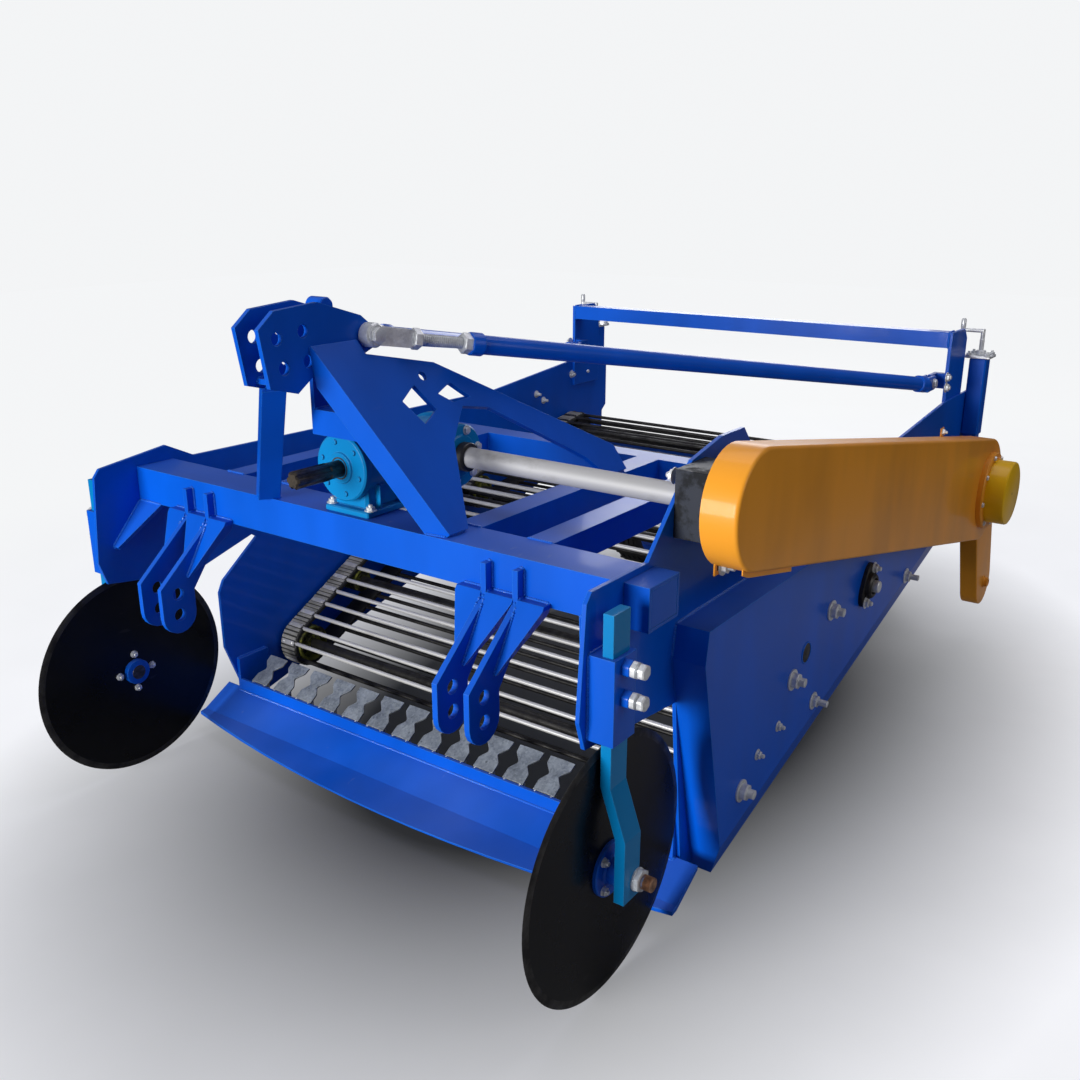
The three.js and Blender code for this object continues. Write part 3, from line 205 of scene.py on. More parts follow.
class Finish:
    """One material: its nodes, its shader and the patterns that its colours are made of."""

    def __init__(self, name):
        self.material = bpy.data.materials.new(name)
        self.material.use_nodes = True
        self.tree = self.material.node_tree
        self.shader = self.tree.nodes["Principled BSDF"]
        self.place = self.node("ShaderNodeTexCoord", {}, {})["Object"]

    def node(self, kind, settings, values):
        """Adds a node and returns its outputs by number or name."""
        added = self.tree.nodes.new(kind)
        for key, value in settings.items():
            setattr(added, key, value)
        for key, value in values.items():
            self.feed(added.inputs[key], value)
        signals = [Signal(self, output) for output in added.outputs]
        return {**dict(enumerate(signals)), **{signal.socket.name: signal for signal in signals}}

    def feed(self, socket, value):
        """Links a signal to a socket, or sets a plain value on it."""
        if isinstance(value, Signal):
            self.tree.links.new(value.socket, socket)
        elif isinstance(value, tuple) and len(value) == 3 and socket.type == "RGBA":
            socket.default_value = (*value, 1)
        else:
            socket.default_value = value

    def noise(self, scale, detail=2.0, roughness=0.5, stretch=None):
        """Soft random blotches; stretch draws them out along some axes."""
        place = self.place
        if stretch is not None:
            place = self.node("ShaderNodeMapping", {}, {"Vector": place, "Scale": stretch})[0]
        values = {"Vector": place, "Scale": scale, "Detail": detail, "Roughness": roughness}
        return self.node("ShaderNodeTexNoise", {}, values)["Fac"]

    def cells(self, scale):
        """Random grey for each cell of a broken-up plane, as in zinc spangle."""
        return self.node("ShaderNodeTexVoronoi", {}, {"Vector": self.place, "Scale": scale})["Color"]

    def mix(self, amount, first, second):
        """A colour between two, by an amount."""
        return self.node("ShaderNodeMix", {"data_type": "RGBA"}, {0: amount, 6: first, 7: second})[2]

    def upward(self):
        """1 on faces that look up, 0 on walls and undersides."""
        normal = self.node("ShaderNodeNewGeometry", {}, {})["Normal"]
        return self.node("ShaderNodeSeparateXYZ", {}, {"Vector": normal})["Z"].between(0.55, 0.95)

    def rounded(self, radius):
        """The surface's direction as if its edges were rounded, and how far an edge turns it."""
        soft = self.node("ShaderNodeBevel", {"samples": 4}, {"Radius": radius})[0]
        flat = self.node("ShaderNodeNewGeometry", {}, {})["True Normal"]
        along = self.node("ShaderNodeVectorMath", {"operation": "DOT_PRODUCT"}, {0: soft, 1: flat})["Value"]
        return soft, (1.0 - along).between(0.02, 0.25)

    def set(self, **values):
        """Sets or links the shader's own sockets; an underscore stands for a space."""
        for key, value in values.items():
            self.feed(self.shader.inputs[key.replace("_", " ")], value)
        return self

    def bump(self, height, strength, distance, normal=None):
        """Tilts the surface by a height."""
        values = {"Height": height, "Strength": strength, "Distance": distance}
        if normal is not None:
            values["Normal"] = normal
        return self.node("ShaderNodeBump", {}, values)["Normal"]


print("shader arithmetic ready")

# %% [markdown]
# ## Paint
# Sprayed enamel is never one flat colour. It is a little uneven from pass to pass and has a fine orange
# peel. Its edges are made brighter, partly as thinned paint and partly as a painted highlight, and what
# faces up is greyed, partly by workshop dust and partly as a painted sheen. All of that is worked out in
# one function, so each painted colour is one call.

# %% Enamel
EDGE_RADIUS = 0.0022
COAT_WEIGHT, COAT_ROUGHNESS, PAINT_SPECULAR = 0.15, 0.08, 0.18


def enamel(name, slot, colour, edge, dust_and_sheen_weight, dust=(0.13, 0.16, 0.28), gloss=0.30, dust_and_sheen_share=0.40):
    """Colour varies with wide soft noise; edges turn brighter, as thinned paint and a painted highlight, and
    faces that look up turn grey, as dust and a painted sheen.
    """
    finish = Finish(name)
    blotch = finish.noise(2.3, 3.0)
    passes = finish.noise(9.0, 2.0, stretch=(1.0, 1.0, 0.25))
    peel = finish.noise(170.0, 1.0)
    soft, edge_wear_and_highlight = finish.rounded(EDGE_RADIUS)
    deep = tuple(0.80 * c for c in colour)
    body = finish.mix((blotch * 0.55 + passes * 0.45).between(0.38, 0.62), deep, colour)
    # Faces that look up are mixed towards the dust colour, a grey-violet on the blues: partly settled dust,
    # partly a painted sheen for the tops' reflection of the room.
    dust_and_sheen_mask = finish.upward() * blotch.between(0.25, 0.75) * dust_and_sheen_share
    with_dust_and_sheen = finish.mix(dust_and_sheen_mask * dust_and_sheen_weight, body, dust)
    scuffs = finish.noise(38.0, 4.0, 0.65, stretch=(1.0, 0.35, 1.0)).between(0.68, 0.76) * 0.18
    marked = finish.mix(scuffs * finish.upward(), with_dust_and_sheen, tuple(0.4 + 0.4 * c for c in dust))
    # Edges are mixed towards the brighter edge colour: partly thinned paint, partly a painted highlight on
    # the rounded edge.
    bright = finish.mix(edge_wear_and_highlight * (blotch.between(0.3, 0.6) * 0.40 + 0.35), marked, edge)
    finish.set(Base_Color=bright, Roughness=gloss + dust_and_sheen_mask * 0.2 + passes * 0.08,
               Normal=finish.bump(peel, 0.05, 0.0005, soft), Coat_Weight=COAT_WEIGHT,
               Coat_Roughness=COAT_ROUGHNESS, Specular_IOR_Level=PAINT_SPECULAR)
    return finish.material, slot


BLUE = enamel("blue_enamel", "blue_paint", (0.0, 0.108, 0.70), (0.06, 0.36, 1.0), 0.9)
SKY = enamel("sky_enamel", "sky_blue_paint", (0.0, 0.24, 0.60), (0.08, 0.45, 0.90), 0.4)
ORANGE = enamel("orange_enamel", "orange_paint", (0.95, 0.38, 0.030), (1.0, 0.52, 0.10), 0.5,
                dust=(0.50, 0.30, 0.10), gloss=0.34, dust_and_sheen_share=0.3)
YELLOW = enamel("yellow_enamel", "orange_paint", (1.0, 0.58, 0.006), (1.0, 0.62, 0.10), 0.4,
                dust=(0.55, 0.38, 0.10), gloss=0.30, dust_and_sheen_share=0.25)
print("four enamels")

# %% [markdown]
# ## Bare metal, rubber and plating
# Drawn bar comes from the store with dull smears, zinc plate shows faint spangle, worn web rods are bright
# where soil has scoured them, and the drive end is dark with oil. The discs are dipped in gloss black, and
# their bevelled rims have gone dark as well.

# %% Metals
def bare_metal(name, slot, light, dark, scale, rough, stretch=None, metallic=1.0, patchy=(0.42, 0.62)):
    """Two greys blended by stretched noise, with a fine grain in the roughness and the surface."""
    finish = Finish(name)
    patch = finish.noise(scale, 5.0, 0.6, stretch).between(*patchy)
    grain = finish.noise(420.0, 3.0, 0.6, stretch)
    finish.set(Base_Color=finish.mix(patch, light, dark), Metallic=metallic,
               Roughness=rough + patch * 0.18 + grain * 0.08, Normal=finish.bump(grain, 0.12, 0.0004))
    return finish.material, slot


def zinc_plate(name, slot, light, dark):
    """Spangle: each random cell has its own grey, over soft cloudy stains."""
    finish = Finish(name)
    spangle = finish.node("ShaderNodeRGBToBW", {}, {"Color": finish.cells(210.0)})[0]
    cloud = finish.noise(24.0, 4.0, 0.6)
    soft, edge_wear_and_highlight = finish.rounded(0.0012)
    shade = (spangle * 0.45 + cloud.between(0.3, 0.7) * 0.55).limited()
    # Edges are mixed towards near-white: partly wear, partly a painted highlight.
    finish.set(Base_Color=finish.mix(edge_wear_and_highlight * 0.6, finish.mix(shade, dark, light), (0.92, 0.93, 0.95)),
               Metallic=0.35, Roughness=0.26 + spangle * 0.2, Normal=finish.bump(cloud, 0.1, 0.0006, soft))
    return finish.material, slot


SHAFT_STEEL = bare_metal("shaft_steel", "bare_shaft_steel", (0.46, 0.46, 0.47), (0.24, 0.23, 0.22), 14.0,
                         0.52, (0.5, 1.0, 1.0), metallic=0.2, patchy=(0.5, 0.72))
ROD_STEEL = bare_metal("rod_steel", "web_steel", (0.66, 0.66, 0.66), (0.36, 0.35, 0.34), 9.0, 0.32,
                       (0.4, 1.0, 1.0), metallic=0.35, patchy=(0.5, 0.75))
DARK_STEEL = bare_metal("dark_steel", "dark_steel", (0.060, 0.058, 0.056), (0.022, 0.021, 0.022), 20.0,
                        0.36, metallic=0.7)
OILY_STEEL = bare_metal("oily_steel", "dark_steel", (0.115, 0.095, 0.075), (0.030, 0.026, 0.024), 60.0,
                        0.30, (1.0, 0.4, 1.0), metallic=0.75)
ZINC = zinc_plate("zinc_plate", "zinc_steel", (0.90, 0.92, 0.94), (0.54, 0.56, 0.59))
print("shaft, rod, dark and oily steel, and zinc")

# %% Discs, rubber and rollers
DULL_SPECULAR = 0.2


def black_gloss(name, slot):
    """Gloss black with a faint haze of dust and a few fine scratches."""
    finish = Finish(name)
    haze = finish.noise(5.0, 4.0, 0.6).between(0.35, 0.8)
    scratch = finish.noise(70.0, 2.0, 0.5, (1.0, 0.15, 1.0)).between(0.70, 0.74)
    colour = finish.mix(haze, (0.0030, 0.0034, 0.0045), (0.009, 0.009, 0.010))
    finish.set(Base_Color=finish.mix(scratch * 0.35, colour, (0.04, 0.04, 0.04)),
               Roughness=0.24 + haze * 0.16, Specular_IOR_Level=DULL_SPECULAR)
    return finish.material, slot


def black_rubber(name, slot, light, dark):
    """Rubber with dust in a cloudy film and a fine moulded grain."""
    finish = Finish(name)
    cloud = finish.noise(16.0, 5.0, 0.65).between(0.35, 0.7)
    grain = finish.noise(600.0, 2.0)
    finish.set(Base_Color=finish.mix(cloud, dark, light), Roughness=0.62 + grain * 0.16,
               Normal=finish.bump(grain, 0.25, 0.0006))
    return finish.material, slot


def grimy_paint(name, slot, colour, grime):
    """Paint rubbed through to dark grime in ragged patches."""
    finish = Finish(name)
    ragged = finish.noise(26.0, 6.0, 0.7).between(0.46, 0.58)
    finish.set(Base_Color=finish.mix(ragged, colour, grime), Roughness=0.42 + ragged * 0.3,
               Normal=finish.bump(ragged, 0.3, 0.0005), Specular_IOR_Level=DULL_SPECULAR)
    return finish.material, slot


DISC_BLACK = black_gloss("disc_black", "black_disc")
TYRE = black_rubber("tyre_rubber", "black_rubber", (0.042, 0.041, 0.040), (0.014, 0.014, 0.015))
BELT = black_rubber("belt_rubber", "black_rubber", (0.060, 0.059, 0.056), (0.020, 0.020, 0.020))
BELT_BAR = black_rubber("belt_bar_rubber", "black_rubber", (0.42, 0.41, 0.39), (0.17, 0.17, 0.16))
HOUSING = grimy_paint("dark_housing", "dark_steel", (0.022, 0.028, 0.045), (0.012, 0.014, 0.018))
RUSTY_STEEL = bare_metal("rusty_steel", "zinc_steel", (0.36, 0.20, 0.12), (0.16, 0.09, 0.06), 90.0, 0.42,
                         metallic=0.3)
FINGER_ZINC = zinc_plate("finger_zinc", "zinc_steel", (0.44, 0.49, 0.54), (0.11, 0.13, 0.16))
OLIVE = grimy_paint("olive_paint", "olive_roller", (0.20, 0.21, 0.040), (0.035, 0.034, 0.020))
print("discs, rubber and rollers")

# %% [markdown]
# ## Shapes from arrays
# Every new piece is a surface worked out with numpy. The basic one is a skin: a grid of rings, each ring
# closed on itself, with both ends closed by a fan of triangles to the middle of the end ring. Its volume
# tells which way it faces, and one that is inside out is turned round.

# %% Skins
ROUND_CORNER = 1.14


def volume_of(points, quads, triangles):
    """Signed volume: the sum of the tetrahedra from the origin to each triangle."""
    halves = np.concatenate([quads[:, [0, 1, 2]], quads[:, [0, 2, 3]], triangles])
    a, b, c = (points[halves[:, k]] for k in range(3))
    return np.einsum("ij,ij->i", a, np.cross(b, c)).sum() / 6


def skin(rings, loop=False):
    """A closed shell over a (rows, columns, 3) grid: columns close on themselves, and the rows either
    close too or end in a fan to the middle of the last ring."""
    rows, columns = rings.shape[:2]
    points = rings.reshape(-1, 3)
    row = np.arange(rows if loop else rows - 1)[:, None]
    column = np.arange(columns)[None, :]
    after_row = (row + 1) % rows
    after = (column + 1) % columns
    quads = np.stack(np.broadcast_arrays(row * columns + column, row * columns + after,
                                         after_row * columns + after, after_row * columns + column), -1)
    quads = quads.reshape(-1, 4)
    triangles = np.zeros((0, 3), int)
    if not loop:
        turn = np.arange(columns)
        last = (rows - 1) * columns
        start, end = len(points), len(points) + 1
        points = np.vstack([points, rings[0].mean(0), rings[-1].mean(0)])
        low = np.stack([np.full(columns, start), (turn + 1) % columns, turn], -1)
        high = np.stack([np.full(columns, end), last + turn, last + (turn + 1) % columns], -1)
        triangles = np.vstack([low, high])
    if volume_of(points - points.mean(0), quads, triangles) < 0:
        quads, triangles = quads[:, ::-1], triangles[:, ::-1]
    return points, quads, triangles


def joined(shells):
    """Several shells as one: the corner numbers of each are shifted past those before it."""
    shift = np.cumsum([0] + [len(shell[0]) for shell in shells])
    points = np.vstack([shell[0] for shell in shells])
    quads = np.vstack([shell[1] + k for shell, k in zip(shells, shift)])
    triangles = np.vstack([shell[2] + k for shell, k in zip(shells, shift)])
    return points, quads, triangles


def copies(shell, offsets):
    """The same shell at many offsets, in one array operation."""
    offsets = np.asarray(offsets, float)
    count, size = len(offsets), len(shell[0])
    points = (offsets[:, None, :] + shell[0][None, :, :]).reshape(-1, 3)
    shift = size * np.arange(count)[:, None, None]
    return points, (shell[1][None] + shift).reshape(-1, 4), (shell[2][None] + shift).reshape(-1, 3)


print("skins")

# %% [markdown]
# Most parts of a machine are turned. A lathe shape is a list of rows, each a height and a radius, carried
# round a direction. A third number in a row is 1 where the section is a hexagon, as on a nut. A hoop is
# the same with a profile that closes on itself, for tyres and rims.

# %% Turned shapes
def frame_along(direction):
    """Two directions across a unit direction, and the direction itself."""
    w = np.asarray(direction, float)
    w = w / np.linalg.norm(w)
    helper = np.array([0.0, 0.0, 1.0]) if abs(w[2]) < 0.9 else np.array([0.0, 1.0, 0.0])
    u = np.cross(helper, w)
    u = u / np.linalg.norm(u)
    return u, np.cross(w, u), w


def spokes(direction, count, turn=0.0):
    """Unit directions evenly spaced about a direction, their angles, and the direction itself."""
    u, v, w = frame_along(direction)
    angle = turn + 2 * math.pi * np.arange(count) / count
    return np.outer(np.cos(angle), u) + np.outer(np.sin(angle), v), angle, w


def hexagon(angle):
    """Radius of a hexagon with its flats at 1, at each angle."""
    sixth = math.pi / 3
    return 1 / np.cos((angle + sixth / 2) % sixth - sixth / 2)


def turned(rows, centre, direction, facets=48):
    """A lathe shape from rows of height, radius and, for a hexagon, 1."""
    profile = np.array([(*row, 0)[:3] for row in rows], float)
    around, angle, w = spokes(direction, facets)
    corner = np.minimum(hexagon(angle), ROUND_CORNER) - 1
    radius = profile[:, 1:2] * (1 + profile[:, 2:3] * corner)
    return skin(np.asarray(centre) + profile[:, 0, None, None] * w + radius[..., None] * around)


def hoop(rows, centre, direction, facets=96):
    """A closed profile of height and radius rows, carried round a direction."""
    profile = np.asarray(rows, float)
    around, _, w = spokes(direction, facets)
    return skin(centre + profile[:, :1] * w + profile[:, 1:] * around[:, None, :], loop=True)


def ring_of(centre, radius, count, direction, turn=0.0):
    """Points spaced evenly on a circle about a direction."""
    return np.asarray(centre) + radius * spokes(direction, count, turn)[0]


def rods(starts, ends, radius, facets=16):
    """Round bars between pairs of points, with a small chamfer at both ends."""
    shells = []
    for start, end in zip(np.atleast_2d(starts), np.atleast_2d(ends)):
        length = np.linalg.norm(end - start)
        chamfer = min(radius * 0.2, length / 4)
        rows = [(0, radius - chamfer), (chamfer, radius), (length - chamfer, radius),
                (length, radius - chamfer)]
        shells.append(turned(rows, start, end - start, facets))
    return joined(shells)


def slab(low, high, chamfer=0.0015):
    """A box with its upright and level edges cut: rings go up z, each a rectangle with cut corners."""
    low, high = np.asarray(low, float), np.asarray(high, float)
    cut = min(chamfer, *(0.4 * (high - low)))

    def ring(inset, z):
        x0, y0, x1, y1 = low[0] + inset, low[1] + inset, high[0] - inset, high[1] - inset
        flat = [(x0 + cut, y0), (x1 - cut, y0), (x1, y0 + cut), (x1, y1 - cut), (x1 - cut, y1),
                (x0 + cut, y1), (x0, y1 - cut), (x0, y0 + cut)]
        return [(x, y, z) for x, y in flat]

    levels = ((cut, low[2]), (0, low[2] + cut), (0, high[2] - cut), (cut, high[2]))
    return skin(np.array([ring(inset, z) for inset, z in levels]))


X, Y, Z = np.eye(3)
print("turned shapes, rods and slabs")

# %% [markdown]
# A finished shell becomes a Blender mesh with smooth faces that stay sharp past an angle. The same call
# says what the piece rides on, whose finish it takes, and which plain shape it stands for.

# %% Pieces
SHARP = math.radians(32)
tally = []


def piece(name, shell, look, body="chassis", stands_for=()):
    """Turns a shell into a mesh object that rides on a body. A look is a material and a slot."""
    points, quads, triangles = shell
    material, slot = look
    mesh = bpy.data.meshes.new(name)
    mesh.from_pydata(points.tolist(), [], quads.tolist() + triangles.tolist())
    mesh.validate()
    mesh.shade_smooth()
    mesh.set_sharp_from_angle(angle=SHARP)
    mesh.materials.append(material)
    thing = bpy.data.objects.new(name, mesh)
    bpy.context.scene.collection.objects.link(thing)
    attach(thing, body)
    if stands_for:
        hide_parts(*stands_for)
    tally.append((name, 2 * len(quads) + len(triangles)))


def repaint(look, *names):
    """Gives frame nodes a finish in place of their plain one."""
    for name in names:
        mesh = nodes[name].data
        mesh.materials.clear()
        mesh.materials.append(look[0])


PAIR = (("left", -1), ("right", 1))
repaint(BLUE, "front_beam", "top_frame", "side_wall_left", "side_wall_right", "side_box_right", "hitch_mast",
        "mast_bracket", "share", "rear_bar", "rear_axle")
for side, _ in PAIR:
    repaint(BLUE, f"lower_hitch_{side}", f"coulter_sleeve_{side}", f"rear_post_{side}", f"wheel_leg_{side}",
            f"wheel_arm_{side}")
    repaint(SKY, f"coulter_shank_{side}")
repaint(DARK_STEEL, "rear_web_drive_roller", "front_web_drive_roller")
repaint(HOUSING, "shaft_bearing")
print("frame nodes repainted")

# %% [markdown]
# ## Weld beads
# The frame is plate and tube, welded where edges meet faces. A bead belongs along every sharp edge of one
# plate that lies on another, and in every inside corner of a welded part. Both can be found from the
# meshes themselves, so the beads follow the steel: a search tree tells how far each edge lies from its
# neighbour, and the two faces beside an edge tell an inside corner from an outside one.

# %% Finding the seams
BEAD_RADIUS = 0.0034
BEAD_RIPPLE = 0.0052
BEAD_SWELL = 0.16
SEAM_REACH = 0.0009
SHORT_EDGE = 0.009


def clean_mesh(node):
    """Corner places merged to a tenth of a millimetre, triangles and their directions."""
    mesh = nodes[node].data
    mesh.calc_loop_triangles()
    points = np.empty(len(mesh.vertices) * 3)
    mesh.vertices.foreach_get("co", points)
    corners_of = np.empty(len(mesh.loop_triangles) * 3, int)
    mesh.loop_triangles.foreach_get("vertices", corners_of)
    _, first, same = np.unique((points.reshape(-1, 3) * 1e4).round().astype(int), axis=0, return_index=True,
                               return_inverse=True)
    points = points.reshape(-1, 3)[first]
    faces = same.reshape(-1)[corners_of].reshape(-1, 3)
    across = np.cross(points[faces[:, 1]] - points[faces[:, 0]], points[faces[:, 2]] - points[faces[:, 0]])
    area = np.linalg.norm(across, axis=1)
    keep = area > 1e-12
    return points, faces[keep], across[keep] / area[keep, None]


def sharp_edges(points, faces, normals, least=0.2):
    """Edges where two faces meet at an angle, and whether each is an inside corner."""
    ends = np.concatenate([faces[:, [0, 1]], faces[:, [1, 2]], faces[:, [2, 0]]])
    owner = np.tile(np.arange(len(faces)), 3)
    far = np.concatenate([faces[:, 2], faces[:, 0], faces[:, 1]])
    key = np.sort(ends, axis=1)
    order = np.lexsort((key[:, 1], key[:, 0]))
    key, owner, far = key[order], owner[order], far[order]
    twin = np.nonzero(np.all(key[:-1] == key[1:], axis=1))[0]
    a, b = owner[twin], owner[twin + 1]
    turn = 1 - np.einsum("ij,ij->i", normals[a], normals[b])
    inside = np.einsum("ij,ij->i", points[far[twin + 1]] - points[key[twin, 0]], normals[a]) > 1e-5
    sharp = turn > least
    return points[key[twin[sharp], 0]], points[key[twin[sharp], 1]], inside[sharp]


def seam_lines(node, neighbours, own_corners=True):
    """Start and end points of the seams of a node with its neighbours and, where asked, with itself."""
    points, faces, normals = clean_mesh(node)
    start, end, inside = sharp_edges(points, faces, normals)
    wanted = inside & own_corners
    for other in neighbours:
        tree = BVHTree.FromPolygons(*(part.tolist() for part in clean_mesh(other)[:2]))
        for k in np.nonzero(~wanted)[0]:
            spots = (start[k], 0.5 * (start[k] + end[k]), end[k])
            hits = [tree.find_nearest(Vector(spot), SEAM_REACH)[0] for spot in spots]
            wanted[k] = all(hit is not None for hit in hits)
    long = np.linalg.norm(end - start, axis=1) > SHORT_EDGE
    return start[wanted & long], end[wanted & long]


def bead(start, end):
    """A rippled tube: its radius swells once for each drop of weld metal along the seam."""
    length = np.linalg.norm(end - start)
    rows = max(6, int(4 * length / BEAD_RIPPLE))
    along = np.linspace(0, length, rows)
    swell = 1 + BEAD_SWELL * np.cos(2 * math.pi * along / BEAD_RIPPLE)
    taper = np.clip(np.minimum(along, length - along) / BEAD_RADIUS, 0.35, 1)
    radius = BEAD_RADIUS * swell * taper
    return turned(np.stack([along, radius], 1), start, end - start, 8)


print("seam finder ready")

# %% Welding
SEAMS = [
    ("front_beam", ["side_wall_left", "side_wall_right"], True),
    ("top_frame", ["front_beam", "side_wall_left", "side_wall_right"], False),
    ("lower_hitch_left", ["front_beam"], True),
    ("lower_hitch_right", ["front_beam"], True),
    ("hitch_mast", ["front_beam"], True),
    ("mast_bracket", ["front_beam", "top_frame", "hitch_mast"], True),
    ("side_box_right", ["side_wall_right"], False),
    ("coulter_sleeve_left", ["side_wall_left"], False),
    ("coulter_sleeve_right", ["side_wall_right"], False),
    ("rear_post_left", ["side_wall_left"], True),
    ("rear_post_right", ["side_wall_right"], True),
    ("rear_bar", ["rear_post_left", "rear_post_right"], False),
    ("share", ["side_wall_left", "side_wall_right"], True),
]
for node, neighbours, own in SEAMS:
    starts, ends = seam_lines(node, neighbours, own)
    piece(f"weld_{node}", joined([bead(a, b) for a, b in zip(starts, ends)]), BLUE)
    print("welded", node, "with", len(starts), "beads")

# %% [markdown]
# ## Nuts and bolts
# A bolt is a lathe shape with a hexagonal stretch: washer, nut with cut corners, and the end of the
# thread, whose radius rises and falls once for each turn. One function makes it in any size, and
# `copies` puts the same shell wherever it is needed.

# %% Fasteners
def thread_rows(start, length, radius, pitch):
    """Profile rows of a thread: the radius swings between crest and root twice each pitch."""
    steps = max(2, int(2 * length / pitch))
    height = np.linspace(start, start + length, steps + 1)
    swing = np.where(np.arange(steps + 1) % 2 == 0, radius, radius * 0.86)
    swing[-1] = radius * 0.7
    return np.stack([height, swing], 1).tolist()


def nut_rows(start, end, flat, cut=0.002):
    """Profile rows of a hexagon nut, drawn in a little at both ends."""
    return [(start, flat - cut, 1), (start + cut, flat, 1), (end - cut, flat, 1), (end, flat - cut, 1)]


def bolt_rows(size, stud=0.0, washer=1.25, head=0.65):
    """Rows of a washer, a hexagon and a length of bare thread, for a bolt of this size."""
    flat = 0.80 * size
    thick = 0.16 * size
    tall = head * size
    rows = [(0, washer * size), (thick, washer * size), (thick, flat, 1), (thick + 0.9 * tall, flat, 1),
            (thick + tall, 0.86 * flat, 1)]
    if stud:
        rows += [(thick + tall, size / 2), *thread_rows(thick + tall + 0.0005, stud, size / 2, 0.0025)]
    return rows


def bolts_at(spots, direction, size, stud=0.0, washer=1.25, head=0.65, facets=24):
    """The same bolt at each spot, all pointing one way."""
    return copies(turned(bolt_rows(size, stud, washer, head), (0, 0, 0), direction, facets), spots)


print("fasteners ready")

# %% [markdown]
# ## Coulter discs
# Each disc is cut from plate, ground to a bevel at the rim, and bolted between a flange and a back ring.
# The blade, the rim, the painted hub, the bolts and the plug in the hub are separate pieces that ride on
# the same turning body, because each has its own finish.

# %% Coulters
BLADE_STEP = 0.014
BLADE_ROWS = [(0, -0.016), (0.0001, -0.0155), (0.0049, -0.0155), (0.005, -0.016)]
RIM_ROWS = [(0.0001, -0.0156), (0.0019, -0.0008), (0.0025, 0), (0.0031, -0.0008), (0.0049, -0.0156)]
HUB_ROWS = [(0.0049, 0.052), (0.0115, 0.052), (0.013, 0.0505), (0.013, 0.030), (0.016, 0.027),
            (0.034, 0.027), (0.037, 0.024)]
BACK_ROWS = [(-0.014, 0.025), (-0.0125, 0.0305), (0.0001, 0.031)]
PLUG_ROWS = [(-0.0148, 0.0), (-0.0145, 0.0175), (-0.0135, 0.018)]
FLANGE_FACE, FLANGE_BOLTS_R, BACK_BOLTS_R = 0.013, 0.0405, 0.0445


def widened(rows, radius):
    """Rows whose radius counts from the outside of a disc."""
    return [(height, radius + inset) for height, inset in rows]


for side, sign in PAIR:
    body = f"coulter_disc_{side}"
    low, high = corners(body)
    radius = (high[2] - low[2]) / 2
    out = sign * X
    hub_at = middle(body)
    hub_at[0] = outer_face(body, -sign) + sign * BLADE_STEP
    blade = turned(widened(BLADE_ROWS, radius), hub_at, out, 96)
    piece(f"disc_blade_{side}", blade, DISC_BLACK, body, (body,))
    rim = hoop(widened(RIM_ROWS, radius), hub_at, out)
    piece(f"disc_rim_{side}", rim, (DARK_STEEL[0], "black_disc"), body)
    hub = joined([turned(HUB_ROWS, hub_at, out), turned(BACK_ROWS, hub_at, out)])
    piece(f"disc_hub_{side}", hub, BLUE, body)
    flange_ring = ring_of(hub_at + FLANGE_FACE * out, FLANGE_BOLTS_R, 4, out, math.pi / 4)
    back_ring = ring_of(hub_at, BACK_BOLTS_R, 4, out)
    screws = joined([bolts_at(flange_ring, out, 0.009, 0.004, 1.0),
                     bolts_at(back_ring, -out, 0.009, 0.003, 1.0)])
    piece(f"disc_bolts_{side}", screws, ZINC, body)
    piece(f"disc_plug_{side}", turned(PLUG_ROWS, hub_at, out, 32), OILY_STEEL, body)
print("two coulter discs")

# %% [markdown]
# ## Drive
# The gearbox is cast: two round housings that cross, each with a turned flange. The input stub is
# splined, the cross shaft is plain drawn bar, and the chain case is folded sheet with a rounded edge,
# carrying a turned cap over its rear bearing.

# %% Gearbox
pto_low, pto_high = corners("pto_shaft")
box_low, box_high = corners("gearbox")
shaft_low, shaft_high = corners("side_shaft")
_, SHAFT_Y, DRIVE_Z = middle("side_shaft")
PTO_X = middle("pto_shaft")[0]
SHAFT_R = (shaft_high[2] - shaft_low[2]) / 2
PTO_R = (pto_high[0] - pto_low[0]) / 2
HOUSING_R, FLANGE_R, NECK_R, MOUTH_R = 0.068, 0.066, 0.056, 0.044
FOOT_HALF, PILLAR_HALF, RIB_HALF = 0.060, 0.046, 0.058
FOOT_THICK = 0.014
RIB_COUNT = 4

front = np.array([PTO_X, box_low[1], DRIVE_Z])
elbow = np.array([PTO_X, SHAFT_Y, DRIVE_Z])
side_face = box_high[0]
depth, reach = box_high[1] - box_low[1], side_face - PTO_X
barrel_rows = [(0.0005, -0.022), (0.0005, -0.004), (0.004, 0), (0.018, 0), (0.021, -0.003), (0.024, -0.006),
               (depth - 0.024, -0.006), (depth - 0.021, -0.003), (depth - 0.018, 0), (depth - 0.003, 0),
               (depth, -0.003)]
seat_rows = [(-0.0035, 0.004), (-0.0035, 0.012), (-0.001, 0.014), (0.004, 0.014)]
neck_rows = [(0, NECK_R), (reach - 0.024, NECK_R), (reach - 0.020, NECK_R + 0.003),
             (reach - 0.020, FLANGE_R), (reach - 0.003, FLANGE_R), (reach, FLANGE_R - 0.003),
             (reach, MOUTH_R), (reach + 0.003, MOUTH_R - 0.002), (reach + 0.003, SHAFT_R + 0.004)]
seal_rows = [(-0.002, 0.001), (-0.0042, 0.002), (-0.0042, 0.0045), (0.002, 0.005)]
foot = slab((PTO_X - FOOT_HALF, box_low[1] + 0.008, BEAM_TOP),
            (PTO_X + FOOT_HALF, box_high[1] - 0.020, BEAM_TOP + FOOT_THICK), 0.003)
pillar = slab((PTO_X - PILLAR_HALF, box_low[1] + 0.022, BEAM_TOP + 0.012),
              (PTO_X + PILLAR_HALF, box_high[1] - 0.034, DRIVE_Z - 0.030), 0.006)
rib = slab((-RIB_HALF, -0.003, 0), (RIB_HALF, 0.003, 0.050), 0.0012)
